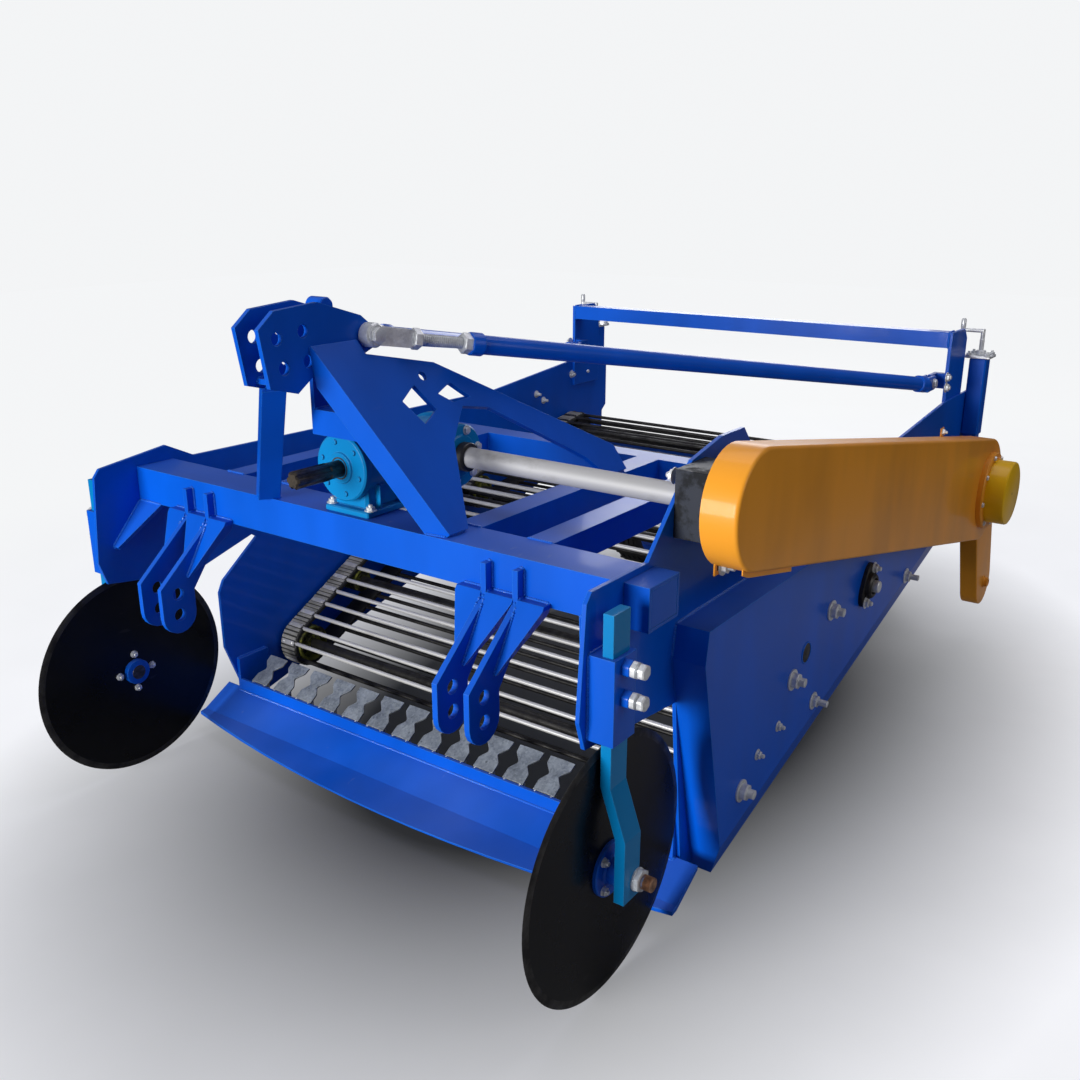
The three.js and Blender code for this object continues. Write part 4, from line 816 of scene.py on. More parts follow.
rib_y = np.linspace(box_low[1] + 0.05, box_high[1] - 0.06, RIB_COUNT)
ribs = copies(rib, [(PTO_X, y, BEAM_TOP + 0.012) for y in rib_y])
casting = [turned(widened(barrel_rows, HOUSING_R), front, Y, 72),
           turned(widened(seat_rows, PTO_R), front, Y), turned(neck_rows, elbow, X, 64), foot, pillar, ribs]
piece("gearbox_casting", joined(casting), SKY, stands_for=("gearbox",))
piece("gearbox_cover_screws", bolts_at(ring_of(front, 0.052, 6, Y, 0.3), -Y, 0.0055, 0, 1.0, 0.3), SKY)
flange_bolts = bolts_at(ring_of((side_face, SHAFT_Y, DRIVE_Z), 0.054, 6, X, 0.2), X, 0.009, 0, 1.1, 0.6)
feet = [(PTO_X + dx, y, BEAM_TOP + FOOT_THICK) for dx in (-0.053, 0.053)
        for y in (box_low[1] + 0.024, box_high[1] - 0.036)]
piece("gearbox_bolts", joined([flange_bolts, bolts_at(feet, Z, 0.010, 0.004)]), ZINC)
piece("gearbox_seal", turned(widened(seal_rows, PTO_R), front, Y, 40), TYRE)
print("gearbox", "reach", round(float(reach), 4))

# %% Splined input and cross shaft
SPLINES, SPLINE_DEPTH, SPLINE_LENGTH = 6, 0.0032, 0.098
STEEPNESS = 2.6


def splined(start, direction, length, radius, facets=96):
    """Radius against angle is a rounded square wave, one crest for each spline; both ends are chamfered."""
    around, angle, w = spokes(direction, facets)
    wave = np.clip(STEEPNESS * np.cos(SPLINES * angle), -1, 1)
    fluted = radius - SPLINE_DEPTH * (1 - wave) / 2
    rows = np.array([(0, 0.80), (0.004, 1.0), (length - 0.012, 1.0), (length, 0.86)])
    return skin(start + rows[:, 0, None, None] * w + (rows[:, 1, None] * fluted)[..., None] * around)


tip = np.array([PTO_X, pto_low[1], DRIVE_Z])
stub = pto_high[1] - pto_low[1]
shank = rods(tip + (SPLINE_LENGTH - 0.012) * Y, tip + stub * Y, PTO_R - 0.001, 40)
spline = splined(tip, Y, SPLINE_LENGTH, PTO_R)
piece("input_spline", joined([spline, shank]), OILY_STEEL, "pto_shaft", ("pto_shaft",))
start = np.array([shaft_low[0], SHAFT_Y, DRIVE_Z])
cross_shaft = rods(start, start + (shaft_high[0] - shaft_low[0]) * X, SHAFT_R, 56)
piece("cross_shaft", cross_shaft, SHAFT_STEEL, "side_shaft", ("side_shaft",))
collar_rows = [(0, 0.0006), (0, 0.009), (0.016, 0.009), (0.018, 0.0075), (0.018, 0.0006)]
collar = turned(widened(collar_rows, SHAFT_R), (side_face + 0.006, SHAFT_Y, DRIVE_Z), X)
piece("shaft_collar", collar, DARK_STEEL, "side_shaft")
print("input and cross shaft")

# %% [markdown]
# The chain case's outline is a belt round two circles. Its skin is that outline carried outwards from the
# back plate and drawn in along a quarter circle at the outer edge, which is how folded and dressed sheet
# looks. The arm below it is the same shape, smaller, with a short tube through its end.

# %% Chain case
FRONT_R, REAR_R = 0.110, 0.150
ARM_R, ARM_TOP_R, BOSS_R = 0.072, 0.087, 0.014
ARM_SET_BACK, ARM_THICK, STUB_R = 0.145, 0.050, 0.040
RING_R, CAP_R, CAP_STEP = 0.112, 0.092, 0.016


def belt_line(first, second, steps):
    """Points and outward directions, evenly spaced round a belt over two circles (y, z, radius). Arcs and
    straight runs are laid out once and then sampled at equal lengths."""
    (y1, z1, r1), (y2, z2, r2) = first, second
    span = math.hypot(y2 - y1, z2 - z1)
    lean = math.atan2(z2 - z1, y2 - y1)
    open_angle = math.acos((r1 - r2) / span)
    back = np.linspace(lean - open_angle, lean + open_angle, 200)
    ahead = np.linspace(lean + open_angle, lean + 2 * math.pi - open_angle, 200)
    angle = np.concatenate([back, ahead, back[:1] + 2 * math.pi])
    ring = np.concatenate([np.stack([y2 + r2 * np.cos(back), z2 + r2 * np.sin(back)], 1),
                           np.stack([y1 + r1 * np.cos(ahead), z1 + r1 * np.sin(ahead)], 1)])
    ring = np.vstack([ring, ring[:1]])
    length = np.concatenate([[0], np.cumsum(np.linalg.norm(np.diff(ring, axis=0), axis=1))])
    s = np.linspace(0, length[-1], steps, endpoint=False)
    places = np.stack([np.interp(s, length, ring[:, 0]), np.interp(s, length, ring[:, 1])], 1)
    turn = np.interp(s, length, angle)
    return places, np.stack([np.cos(turn), np.sin(turn)], 1), length[-1]


def beside(x, flat):
    """Places in the y-z plane, given an x."""
    return np.concatenate([np.broadcast_to(x, flat.shape[:-1] + (1,)), flat], -1)


def sheet_case(first, second, x0, x1, fold, steps=260):
    """A belt outline carried along x, its outer edge drawn in along a quarter circle of radius fold."""
    places, outward, _ = belt_line(first, second, steps)
    quarter = np.linspace(0, math.pi / 2, 7)
    rows = np.concatenate([[[x0, 0.001], [x0 + 0.001, 0]],
                           np.stack([x1 - fold + fold * np.sin(quarter), fold * (1 - np.cos(quarter))], 1)])
    return skin(beside(rows[:, 0, None, None], places[None] - rows[:, 1, None, None] * outward[None]))


case_inner = outer_face("shaft_bearing", 1)
cap_low, cap_high = corners("chain_case_cap")
case_outer, cap_face = cap_low[0], cap_high[0]
_, rear_y, rear_z = middle("chain_case_cap")
nose_circle, rear_circle = (SHAFT_Y, DRIVE_Z, FRONT_R), (rear_y, rear_z, REAR_R)
arm_face = case_outer - 0.006
arm_y, arm_z = rear_y + ARM_SET_BACK, corners("chain_case")[0][2] + ARM_R
case = sheet_case(nose_circle, rear_circle, case_inner, case_outer, 0.007)
arm = sheet_case((arm_y, arm_z, ARM_R), (rear_y + 0.020, rear_z, ARM_TOP_R), arm_face - ARM_THICK, arm_face,
                 0.004)
stub_bar = rods(np.array([outer_face("side_wall_right", 1), rear_y, rear_z]),
                np.array([case_inner + 0.002, rear_y, rear_z]), STUB_R, 40)
boss_rows = [(-0.002, 0.005), (0.003, 0.005), (0.0035, 0.001), (0.013, 0), (0.014, -0.002), (0.014, -0.006),
             (0.010, -0.006)]
boss = turned(widened(boss_rows, BOSS_R), (arm_face, arm_y, arm_z), X, 36)
piece("chain_cover", joined([case, arm, stub_bar, boss]), ORANGE, stands_for=("chain_case",))

cap_at = np.array([case_outer, rear_y, rear_z])
cap_reach = cap_face - case_outer
ring_rows = [(0.0, 0), (0.013, 0), (CAP_STEP, -0.003), (CAP_STEP, -0.018)]
cap_rows = [(0.0155, 0), (cap_reach - 0.006, 0), (cap_reach - 0.002, -0.0018), (cap_reach, -0.006)]
nipple_rows = [(-0.022, 0.007), (-0.012, 0.007), (-0.012, 0.0045), (-0.006, 0.0045), (-0.005, 0.006),
               (0.0, 0.004)]
ring = turned(widened(ring_rows, RING_R), cap_at, X, 72)
piece("bearing_ring", ring, ORANGE, stands_for=("chain_case_cap",))
piece("bearing_cap", turned(widened(cap_rows, CAP_R), cap_at, X, 72), YELLOW)
bolt_ring = ring_of(cap_at + CAP_STEP * X, 0.102, 8, X, 0.2)
piece("bearing_bolts", bolts_at(bolt_ring, X, 0.007, 0, 1.1, 0.5), ZINC)
piece("grease_nipple", turned(nipple_rows, cap_at + cap_reach * X, X, 20), DARK_STEEL)
print("chain case, arm and cap")

# %% [markdown]
# Small tabs hold the case to the side box: a slotted one with a bolt under its nose, a thin upright one
# behind its top, and a lip of folded sheet along the bottom of the nose.

# %% Tabs and lip
LIP_DROP, LIP_THICK, LIP_REACH = 0.010, 0.0025, 0.16
DOWNWARD = -0.86
TAB_THICK = 0.004
lip_places, lip_out, _ = belt_line(nose_circle, rear_circle, 900)
run = lip_places[(lip_out[:, 1] < DOWNWARD) & (lip_places[:, 0] < SHAFT_Y + LIP_REACH)]
run = run[np.argsort(run[:, 0])]
section = [(0, 0.001), (0, -LIP_DROP), (LIP_THICK, -LIP_DROP), (LIP_THICK, 0.001)]
lip = np.stack([beside(case_outer - 0.012 + dx, run + np.array([0, dz])) for dx, dz in section], 1)
tab_x, tab_y, tab_z = case_inner + TAB_THICK, SHAFT_Y - 0.026, BEAM_TOP - 0.004
rear_tab_y, tab_top = rear_y - 0.290, BEAM_TOP + 0.012
tabs = [slab((tab_x, tab_y - 0.030, tab_z - 0.016), (tab_x + TAB_THICK, tab_y + 0.044, tab_z + 0.012)),
        slab((tab_x, tab_y + 0.022, tab_z), (tab_x + TAB_THICK, tab_y + 0.044, DRIVE_Z - FRONT_R + 0.022)),
        slab((case_inner, rear_tab_y - 0.012, tab_top - 0.100), (tab_x, rear_tab_y + 0.012, tab_top))]
piece("case_lip", joined([skin(lip), *tabs]), ORANGE)
# The slot is not cut: a thin dark sheet on the tab's face is painted shade for its opening.
slot_painted_shade = slab((tab_x + 0.0035, tab_y - 0.022, tab_z - 0.007),
                 (tab_x + 0.0045, tab_y + 0.008, tab_z + 0.003))
piece("tab_slot_painted_shade", slot_painted_shade, DARK_STEEL)
tab_bolts = joined([bolts_at([(tab_x + TAB_THICK, tab_y, tab_z - 0.002)], X, 0.015, 0.012),
                    bolts_at([(tab_x, rear_tab_y, tab_top - 0.012)], X, 0.008, 0.006)])
piece("tab_bolts", tab_bolts, ZINC)
print("tabs and lip")

# %% [markdown]
# ## Webs
# A digger's web is a ladder of steel rods on two rubber belts. The belt is one closed strip whose outside
# rises a little at each of three places between two rods, and a pale moulded bar is set on each rise. A
# flat plate with two rivets holds each rod to the belt. The rods of the lower run are pieces of their own
# in dark steel: painted shade, since that run lies in the web's shadow.

# %% Belts and rods
ROD_PITCH, ROD_R, ROD_INSET = 0.050, 0.0055, 0.010
BELT_THICK, BELT_WIDTH, BELT_STEPS = 0.012, 0.060, 720
BARS_BETWEEN = 3
RIB_RISE, RIB_SQUARENESS, RIB_SINK = 0.0022, 1.6, 0.0016
UNDERSIDE = -0.3
BAR_BLOCK = slab((-0.027, -0.0042, 0), (0.027, 0.0042, 0.0032), 0.0008)
ROD_PLATE = slab((-0.024, -0.0065, -0.0012), (0.024, 0.0065, 0.0014), 0.0006)
RIVET_ROWS = [(0, 0.0044), (0.0012, 0.0040), (0.0022, 0.0022)]
RIVET_APART = 0.015


def roller_circle(node, slack=0.0004):
    """Centre and radius of a roller's drums."""
    low, high = corners(node)
    return (*middle(node)[1:], (high[2] - low[2]) / 2 + slack)


def laid(shell, spot, side, up):
    """A shell whose y and z are turned to two directions across x, and which is moved to a spot."""
    return spot + shell[0] @ np.stack([X, side, up]), shell[1], shell[2]


def belt(line, out, x0, x1, raised):
    """A closed strip of a six-cornered section, whose outer face rises at each moulded bar."""
    section = [(x0, -1, 0), (x1, -1, 0), (x1, 0.6, 0), (x1 - 0.002, 1, 1), (x0 + 0.002, 1, 1), (x0, 0.6, 0)]
    sides = []
    for x, level, rib in section:
        drop = level * (BELT_THICK / 2 - 0.0004) - rib * RIB_SINK + rib * raised
        sides.append(beside(DATUM[0] + x, line + drop[:, None] * out))
    return skin(np.stack(sides, 1), loop=True)


def web_parts(first, second, half):
    """Belts, rods, plates, rivets and moulded bars of a web whose belts end at half the width."""
    line, out, length = belt_line(*((y, z, r + BELT_THICK / 2) for y, z, r in (first, second)), BELT_STEPS)
    count = int(round(length / ROD_PITCH))
    phase = (np.arange(BELT_STEPS) / BELT_STEPS * count * (BARS_BETWEEN + 1)) % 1
    raised = np.clip(RIB_SQUARENESS * np.cos(2 * math.pi * phase), 0, 1) * RIB_RISE
    belts = [belt(line, out, x, x + BELT_WIDTH, raised) for x in (-half, half - BELT_WIDTH)]
    at_rod = (np.arange(count) * BELT_STEPS / count).astype(int)
    spots, outward = line[at_rod], out[at_rod]
    left, right = (beside(DATUM[0] + x, spots) for x in (ROD_INSET - half, half - ROD_INSET))
    below = outward[:, 1] < UNDERSIDE
    bars = rods(left[~below], right[~below], ROD_R, 16)
    painted_shade_low_bars = rods(left[below], right[below], ROD_R, 12)

    belt_x = (BELT_WIDTH / 2 - half, half - BELT_WIDTH / 2)
    plates, rivets, cleats = [], [], []

    def on_belt(x, spot, normal, height):
        """A place above the belt's middle line, the direction along the belt and the one out of it."""
        up = np.array([0, *normal])
        return np.array([DATUM[0] + x, *spot]) + up * height, (0, -normal[1], normal[0]), up

    for k in range(1, BARS_BETWEEN + 1):
        between = ((np.arange(count) + k / (BARS_BETWEEN + 1)) * BELT_STEPS / count).astype(int)
        cleats += [laid(BAR_BLOCK, *on_belt(x, spot, normal, BELT_THICK / 2 - RIB_SINK))
                   for spot, normal in zip(line[between], out[between]) for x in belt_x]
    for x in belt_x:
        for spot, normal in zip(spots, outward):
            top, side, up = on_belt(x, spot, normal, BELT_THICK / 2 + 0.0012)
            plates.append(laid(ROD_PLATE, top, side, up))
            rivets += [turned(RIVET_ROWS, top + dx * X + 0.0013 * up, up, 10)
                       for dx in (-RIVET_APART, RIVET_APART)]
    return {"rods": bars, "low_rods_painted_shade": painted_shade_low_bars, "belts": joined(belts), "plates": joined(plates),
            "rivets": joined(rivets), "cleats": joined(cleats)}, count


WEB_HALF = outer_face("front_web", 1) - DATUM[0]
for label, nose, metal in (("front", "front_web_nose_roller", ROD_STEEL),
                           ("rear", "rear_web_front_roller", DARK_STEEL)):
    web, count = web_parts(roller_circle(nose), roller_circle(f"{label}_web_drive_roller"), WEB_HALF)
    # The lower run's rods take dark steel as painted shade.
    looks = {"low_rods_painted_shade": (DARK_STEEL[0], metal[1]), "belts": BELT, "cleats": BELT_BAR}
    for part, shell in web.items():
        stands_for = (f"{label}_web",) if part == "rods" else ()
        piece(f"{label}_web_{part}", shell, looks.get(part, metal), stands_for=stands_for)
    print(label, "web:", count, "rods")

# %% [markdown]
# The belts run over small pressed wheels, one under each belt, on a plain shaft. The frame has each pair
# as one round, which the wheels and the shaft stand for: a wheel is a lathe shape with a dished face.

# %% Web wheels
WHEEL_NODES = ("front_web_nose_roller", "front_web_idler_low", "front_web_idler_high",
               "rear_web_front_roller")
WHEEL_WIDE, AXLE_R, AXLE_INSET = 0.066, 0.014, 0.004
web_wheels, web_axles, wheel_screws = [], [], []
for node in WHEEL_NODES:
    y, z, radius = roller_circle(node, 0)
    rows = [(0, 0.018), (0, 0.024), (0.014, 0.027), (0.017, radius - 0.013), (0.002, radius - 0.009),
            (0.001, radius - 0.003), (0.003, radius - 0.001), (WHEEL_WIDE - 0.003, radius - 0.001),
            (WHEEL_WIDE - 0.001, radius - 0.004), (WHEEL_WIDE - 0.001, 0.018)]
    for out in (-X, X):
        hub_at = np.array([DATUM[0], y, z]) + (WEB_HALF - WHEEL_WIDE) * out
        web_wheels.append(turned(rows, hub_at, out, 40))
        wheel_screws.append(bolts_at(ring_of(hub_at + 0.015 * out, 0.6 * radius, 5, X), -out, 0.006))
    reach = (WEB_HALF - AXLE_INSET) * X
    axle_at = np.array([DATUM[0], y, z])
    web_axles.append(rods(axle_at - reach, axle_at + reach, AXLE_R, 24))
piece("web_wheels", joined(web_wheels), OLIVE, stands_for=WHEEL_NODES)
piece("web_axles", joined(web_axles), DARK_STEEL)
piece("web_wheel_screws", joined(wheel_screws), DARK_STEEL)
print("web wheels", len(web_wheels))

# %% [markdown]
# ## Share fingers
# Plates cut like an hourglass bridge the gap from the share to the web. Each is one outline given a
# thickness, with a slight crown from side to side, and stands on a small folded channel with two legs.

# %% Fingers
FINGER_PITCH, FINGER_LENGTH, FINGER_WIDTH, FINGER_THICK = 0.085, 0.088, 0.066, 0.004
FINGER_LEAN, FINGER_CROWN = math.radians(32), 0.0012
FINGER_ALONG = [0, 0.30, 0.50, 0.56, 0.78, 1.0]
FINGER_HALF = [0.86, 0.84, 0.42, 0.42, 0.96, 1.0]
LEG_APART, PLATE_LIFT = 0.022, 0.034


def finger_shell():
    """Half width against length is a smooth waist between two straight flares; the middle is crowned."""
    along = np.linspace(0, 1, 25)
    half = FINGER_WIDTH / 2 * np.interp(along, FINGER_ALONG, FINGER_HALF)
    across = np.array([-1, -0.5, 0, 0.5, 1])
    crown = FINGER_CROWN * (1 - across ** 2)
    top = np.stack([half[:, None] * across, np.repeat(along[:, None] * FINGER_LENGTH, 5, 1),
                    np.broadcast_to(crown, (25, 5)) + FINGER_THICK], 2)
    under = top[:, ::-1] - np.array([0, 0, FINGER_THICK])
    turn = np.array([[1, 0, 0], [0, math.cos(FINGER_LEAN), math.sin(FINGER_LEAN)],
                     [0, -math.sin(FINGER_LEAN), math.cos(FINGER_LEAN)]])
    return skin(np.concatenate([top, under], 1) @ turn)


fingers_low, fingers_high = corners("share_fingers")
finger_count = int((fingers_high[0] - fingers_low[0]) / FINGER_PITCH) + 1
from_middle = FINGER_PITCH * (np.arange(finger_count) - (finger_count - 1) / 2)
feet_at = [(middle("share_fingers")[0] + x, fingers_low[1] + 0.003, fingers_low[2] + PLATE_LIFT)
           for x in from_middle]
channel = [slab((dx - 0.0018, -0.006, -0.024), (dx + 0.0018, 0.014, 0.003), 0.0005)
           for dx in (-LEG_APART, LEG_APART)]
channel.append(slab((-LEG_APART, 0.004, -0.003), (LEG_APART, 0.014, 0.003), 0.0008))
strip = slab(fingers_low, (fingers_high[0], fingers_low[1] + 0.011, fingers_low[2] + 0.020), 0.001)
piece("finger_plates", copies(finger_shell(), feet_at), FINGER_ZINC, stands_for=("share_fingers",))
piece("finger_channels", copies(joined(channel), feet_at), ZINC)
piece("finger_strip", strip, DARK_STEEL)
print("fingers", finger_count)

# %% [markdown]
# ## Stays
# Two stays brace the mast from behind. Each starts in a plated fork on a pin, goes through a threaded rod
# and lock nut into a long painted tube, and ends in a clevis on the rear post's lug.

# %% Stays
STAY_R, STAY_EYE, STAY_EYE_R = 0.020, 0.028, 0.024
FORK_SECTION = [(-0.0135, -0.018), (0.0135, -0.018), (0.0135, 0.018), (-0.0135, 0.018)]
MAST_GAP, MAST_THICK, PIN_R = 0.052, 0.010, 0.0125
PIN_BACK, PIN_UP = 0.072, 0.352
LUG_OUT, LUG_AHEAD, LUG_UP = 0.624, 0.014, 0.082
ROD_THREAD_R, THREAD_PITCH = 0.012, 0.0044
eye_rows = [(0, -0.003), (0.003, 0), (STAY_EYE - 0.003, 0), (STAY_EYE, -0.003)]
fork_rows = np.array([(0.004, 1.0), (0.080, 1.0), (0.088, 0.82)])
for side, sign in PAIR:
    out = sign * X
    pin_at = DATUM + (0, PIN_BACK, BEAM_TOP + PIN_UP)
    face = MAST_GAP / 2 + MAST_THICK + 0.0005
    start = pin_at + (face + STAY_EYE / 2) * out
    post_front = corners(f"rear_post_{side}")[0][1]
    lug = np.array([DATUM[0] + sign * LUG_OUT, post_front - LUG_AHEAD, BEAM_TOP + LUG_UP])
    line = lug - 0.030 * Y - start
    length = np.linalg.norm(line)
    way = line / length
    u, v, w = frame_along(way)
    eye = turned(widened(eye_rows, STAY_EYE_R), pin_at + face * out, out)
    section = np.array([across * u + up * v for across, up in FORK_SECTION])
    fork = skin(start + fork_rows[:, :1, None] * w + fork_rows[:, 1:, None] * section)
    rod = turned(thread_rows(0.084, 0.155, ROD_THREAD_R, THREAD_PITCH), start, way, 28)
    nuts = [turned(nut_rows(near, far, 0.019), start, way, 36)
            for near, far in ((0.088, 0.106), (0.204, 0.224))]
    pin = rods(pin_at + MAST_GAP / 2 * out, pin_at + (face + STAY_EYE + 0.006) * out, PIN_R, 32)
    head = bolts_at([pin_at + (face + STAY_EYE) * out], out, 0.018, 0, 1.1, 0.45, 36)
    steel = joined([eye, fork, rod, *nuts, pin, head])
    piece(f"stay_fork_{side}", steel, ZINC, stands_for=(f"rear_stay_{side}",))
    tube_rows = [(0.222, -0.004), (0.222, 0.003), (0.226, 0.004), (0.250, 0.004), (0.253, 0),
                 (length - 0.035, 0), (length - 0.033, 0.004), (length - 0.004, 0.004), (length, 0)]
    cheeks = [slab(lug + (dx - 0.0055, -0.040, -0.021), lug + (dx + 0.0055, 0.021, 0.021), 0.003)
              for dx in (-0.0118, 0.0118)]
    bridge = slab(lug + (-0.017, -0.044, -0.0215), lug + (0.017, -0.024, 0.0215), 0.002)
    tube = turned(widened(tube_rows, STAY_R), start, way)
    piece(f"stay_tube_{side}", joined([tube, *cheeks, bridge]), BLUE)
    lug_pin = joined([bolts_at([lug - 0.0173 * out], -out, 0.016, 0.004, 1.1, 0.6),
                      bolts_at([lug + 0.0173 * out], out, 0.014, 0, 1.1, 0.5)])
    piece(f"stay_bolt_{side}", lug_pin, ZINC)
print("two stays, length", round(float(length), 3))

# %% [markdown]
# ## Height screws and depth wheels
# A screw in a square tube raises each end of the rear axle. Its plated flange and crank show above the
# tube. The wheels are pressed discs with a moulded tyre: the tread is a hoop whose radius drops in
# grooves, with bars laid across it, and the dish is a second hoop with bolts round its hub.

# %% Height screws
SCREW_TUBE, SCREW_FLANGE, FLANGE_THICK = 0.050, 0.074, 0.008
TUBE_TOP, TUBE_FOOT = 0.133, -0.105
CRANK_UP, CRANK_REACH = 0.072, 0.062
grip_rows = [(-0.006, 0.006), (0, 0.0068), (0.004, 0.0062), (0.008, 0.0075), (0.030, 0.0075), (0.034, 0.005)]
for side, _ in PAIR:
    x, y = middle(f"wheel_leg_{side}")[:2]
    half = SCREW_TUBE / 2
    tube = slab((x - half, y - half, BEAM_TOP + TUBE_FOOT), (x + half, y + half, BEAM_TOP + TUBE_TOP), 0.004)
    piece(f"screw_tube_{side}", tube, BLUE, stands_for=(f"height_screw_{side}",))
    half = SCREW_FLANGE / 2
    top = np.array([x, y, BEAM_TOP + TUBE_TOP])
    crank = top + (0, 0, FLANGE_THICK + CRANK_UP)
    posts = [top + (dx, dy, FLANGE_THICK) for dx in (-0.027, 0.027) for dy in (-0.027, 0.027)]
    metal = [slab(top - (half, half, 0), top + (half, half, FLANGE_THICK), 0.002),
             bolts_at(posts, Z, 0.009, 0.005),
             turned(thread_rows(0, 0.050, 0.0075, 0.004), top + 0.006 * Z, Z, 20),
             rods(top + 0.05 * Z, crank + 0.006 * Z, 0.0062, 20),
             rods(crank + 0.004 * X, crank - CRANK_REACH * X, 0.006, 20),
             turned(grip_rows, crank - 0.060 * X, Z, 24), turned(nut_rows(0.008, 0.022, 0.014), top, Z, 30)]
    piece(f"screw_crank_{side}", joined(metal), ZINC)
print("height screws")

# %% Depth wheels
HUB_OUT, DISH_R, HUB_R = 0.010, 0.158, 0.038
GROOVES, GROOVE_DEPTH, GROOVE_SHARE = 5, 0.006, 0.13
TREAD_BARS = 28
WHEEL_BOLTS_R, BOLT_FACE = 0.050, 0.043
dish_half = [(0.014, DISH_R + 0.002), (0.010, DISH_R - 0.004), (0.016, DISH_R - 0.012),
             (0.040, DISH_R - 0.034), (0.047, 0.090), (BOLT_FACE, 0.060), (BOLT_FACE, HUB_R)]


def mirrored(rows, width, between=()):
    """A profile followed by its own mirror image, with other rows between the two."""
    return [*rows, *between, *((width - height, radius) for height, radius in reversed(rows))]


for side, _ in PAIR:
    body = f"depth_wheel_{side}"
    low, high = corners(body)
    radius = (high[2] - low[2]) / 2
    width = high[0] - low[0] - 2 * HUB_OUT
    wheel_at = middle(body)
    inner_at, outer_at = wheel_at - width / 2 * X, wheel_at + width / 2 * X
    across = np.linspace(0.012, width - 0.012, 61)
    groove = GROOVE_DEPTH * (np.abs(((across / width * GROOVES) % 1) - 0.5) < GROOVE_SHARE)
    shoulder = [(0.006, DISH_R), (0.0, DISH_R + 0.010), (0.0, radius - 0.022), (0.004, radius - 0.008)]
    tread = zip(across, radius - 0.0004 - groove)
    piece(f"tyre_{side}", hoop(mirrored(shoulder, width, tread), inner_at, X), TYRE, body, (body,))
    bar = slab((-width / 2 + 0.004, -0.006, -0.004), (width / 2 - 0.004, 0.006, 0.0), 0.001)
    angles = 2 * math.pi * np.arange(TREAD_BARS) / TREAD_BARS
    ups = [np.array([0, -math.sin(angle), math.cos(angle)]) for angle in angles]
    bars = [laid(bar, wheel_at + (radius - 0.0004) * up, (0, up[2], -up[1]), up) for up in ups]
    piece(f"tread_bars_{side}", joined(bars), TYRE, body)
    end = width + HUB_OUT
    hub_rows = [(-HUB_OUT, 0.026), (-HUB_OUT, HUB_R - 0.004), (-HUB_OUT + 0.004, HUB_R),
                (end - 0.004, HUB_R), (end, HUB_R - 0.004), (end, 0.026)]
    dish = joined([hoop(mirrored(dish_half, width), inner_at, X), turned(hub_rows, inner_at, X)])
    piece(f"wheel_dish_{side}", dish, BLUE, body)
    heads = [bolts_at(ring_of(face_at - BOLT_FACE * out, WHEEL_BOLTS_R, 5, X), out, 0.011, 0.004)
             for face_at, out in ((inner_at, -X), (outer_at, X))]
    piece(f"wheel_bolts_{side}", joined(heads), ZINC, body)
print("depth wheels")

# %% [markdown]
# ## Hardware on the side box and the frame
# The web's shafts are held by nuts on the side box's outer sheet, and the drive roller by an oval flanged
# bearing. Clamp bolts hold the coulter shanks in their sleeves, the right coulter's rusty axle end stands
# out past its nut, and the beam's open ends are plugged.

# %% Side box hardware
SHEET_X = outer_face("side_box_right", 1)
NUT_SIZES = [([(0.363, 0.216), (0.593, 0.375), (0.797, 0.470)], (0.020, 0.014, 1.2, 0.7, 30)),
             ([(0.434, 0.266), (0.533, 0.289)], (0.010, 0.008, 1.2)),
             ([(0.728, 0.271), (1.343, 0.393)], (0.016, 0.022, 1.3))]
ACCESS, BEARING = (0.663, 0.413), (1.016, 0.467)
ACCESS_ROWS = [(0.0006, 0.022), (0.0022, 0.0235), (0.0006, 0.026), (-0.002, 0.024)]
PLUG_FACE_ROWS = [(-0.002, 0.0225), (0.0004, 0.0225)]
OVAL_LEAN, OVAL_R, OVAL_EAR, OVAL_POWER, OVAL_FACETS = math.radians(28), 0.034, 0.022, 2.4, 72
EAR_BOLTS_R = 0.044


def on_sheet(y, z):
    """A place on the outer sheet of the side box."""
    return at(0, y, z) * (Y + Z) + SHEET_X * X


nuts = [bolts_at([on_sheet(*spot) for spot in spots], X, *size) for spots, size in NUT_SIZES]
piece("side_box_nuts", joined(nuts), ZINC)
piece("access_rim", hoop(ACCESS_ROWS, on_sheet(*ACCESS), X, 48), BLUE)
piece("access_plug", turned(PLUG_FACE_ROWS, on_sheet(*ACCESS), X, 40), DARK_STEEL)

bearing_at = on_sheet(*BEARING)
angle = 2 * math.pi * np.arange(OVAL_FACETS) / OVAL_FACETS
stretch = OVAL_R + OVAL_EAR * np.abs(np.cos(angle)) ** OVAL_POWER
lean = np.array([[math.sin(OVAL_LEAN), math.cos(OVAL_LEAN)], [-math.cos(OVAL_LEAN), math.sin(OVAL_LEAN)]])
oval = np.stack([stretch * np.cos(angle), stretch * np.sin(angle)], 1) @ lean
plate = skin(np.stack([beside(bearing_at[0] + height, bearing_at[1:] + share * oval)
                       for height, share in ((0, 1.0), (0.009, 1.0), (0.011, 0.96))]))
shell_rows = [(0.010, 0.033), (0.020, 0.031), (0.024, 0.027), (0.024, 0.021), (0.018, 0.020)]
shell = turned(shell_rows, bearing_at, X)
axle = turned([(0.016, 0.015), (0.034, 0.015), (0.036, 0.013)], bearing_at, X, 36)
long_axis = np.array([0, *lean[0]])
ears = [bearing_at + 0.011 * X + end * EAR_BOLTS_R * long_axis for end in (-1, 1)]
piece("oval_bearing", joined([plate, shell]), DARK_STEEL)
piece("bearing_axle", joined([axle, bolts_at(ears, X, 0.012, 0.008)]), ZINC)
print("side box hardware")

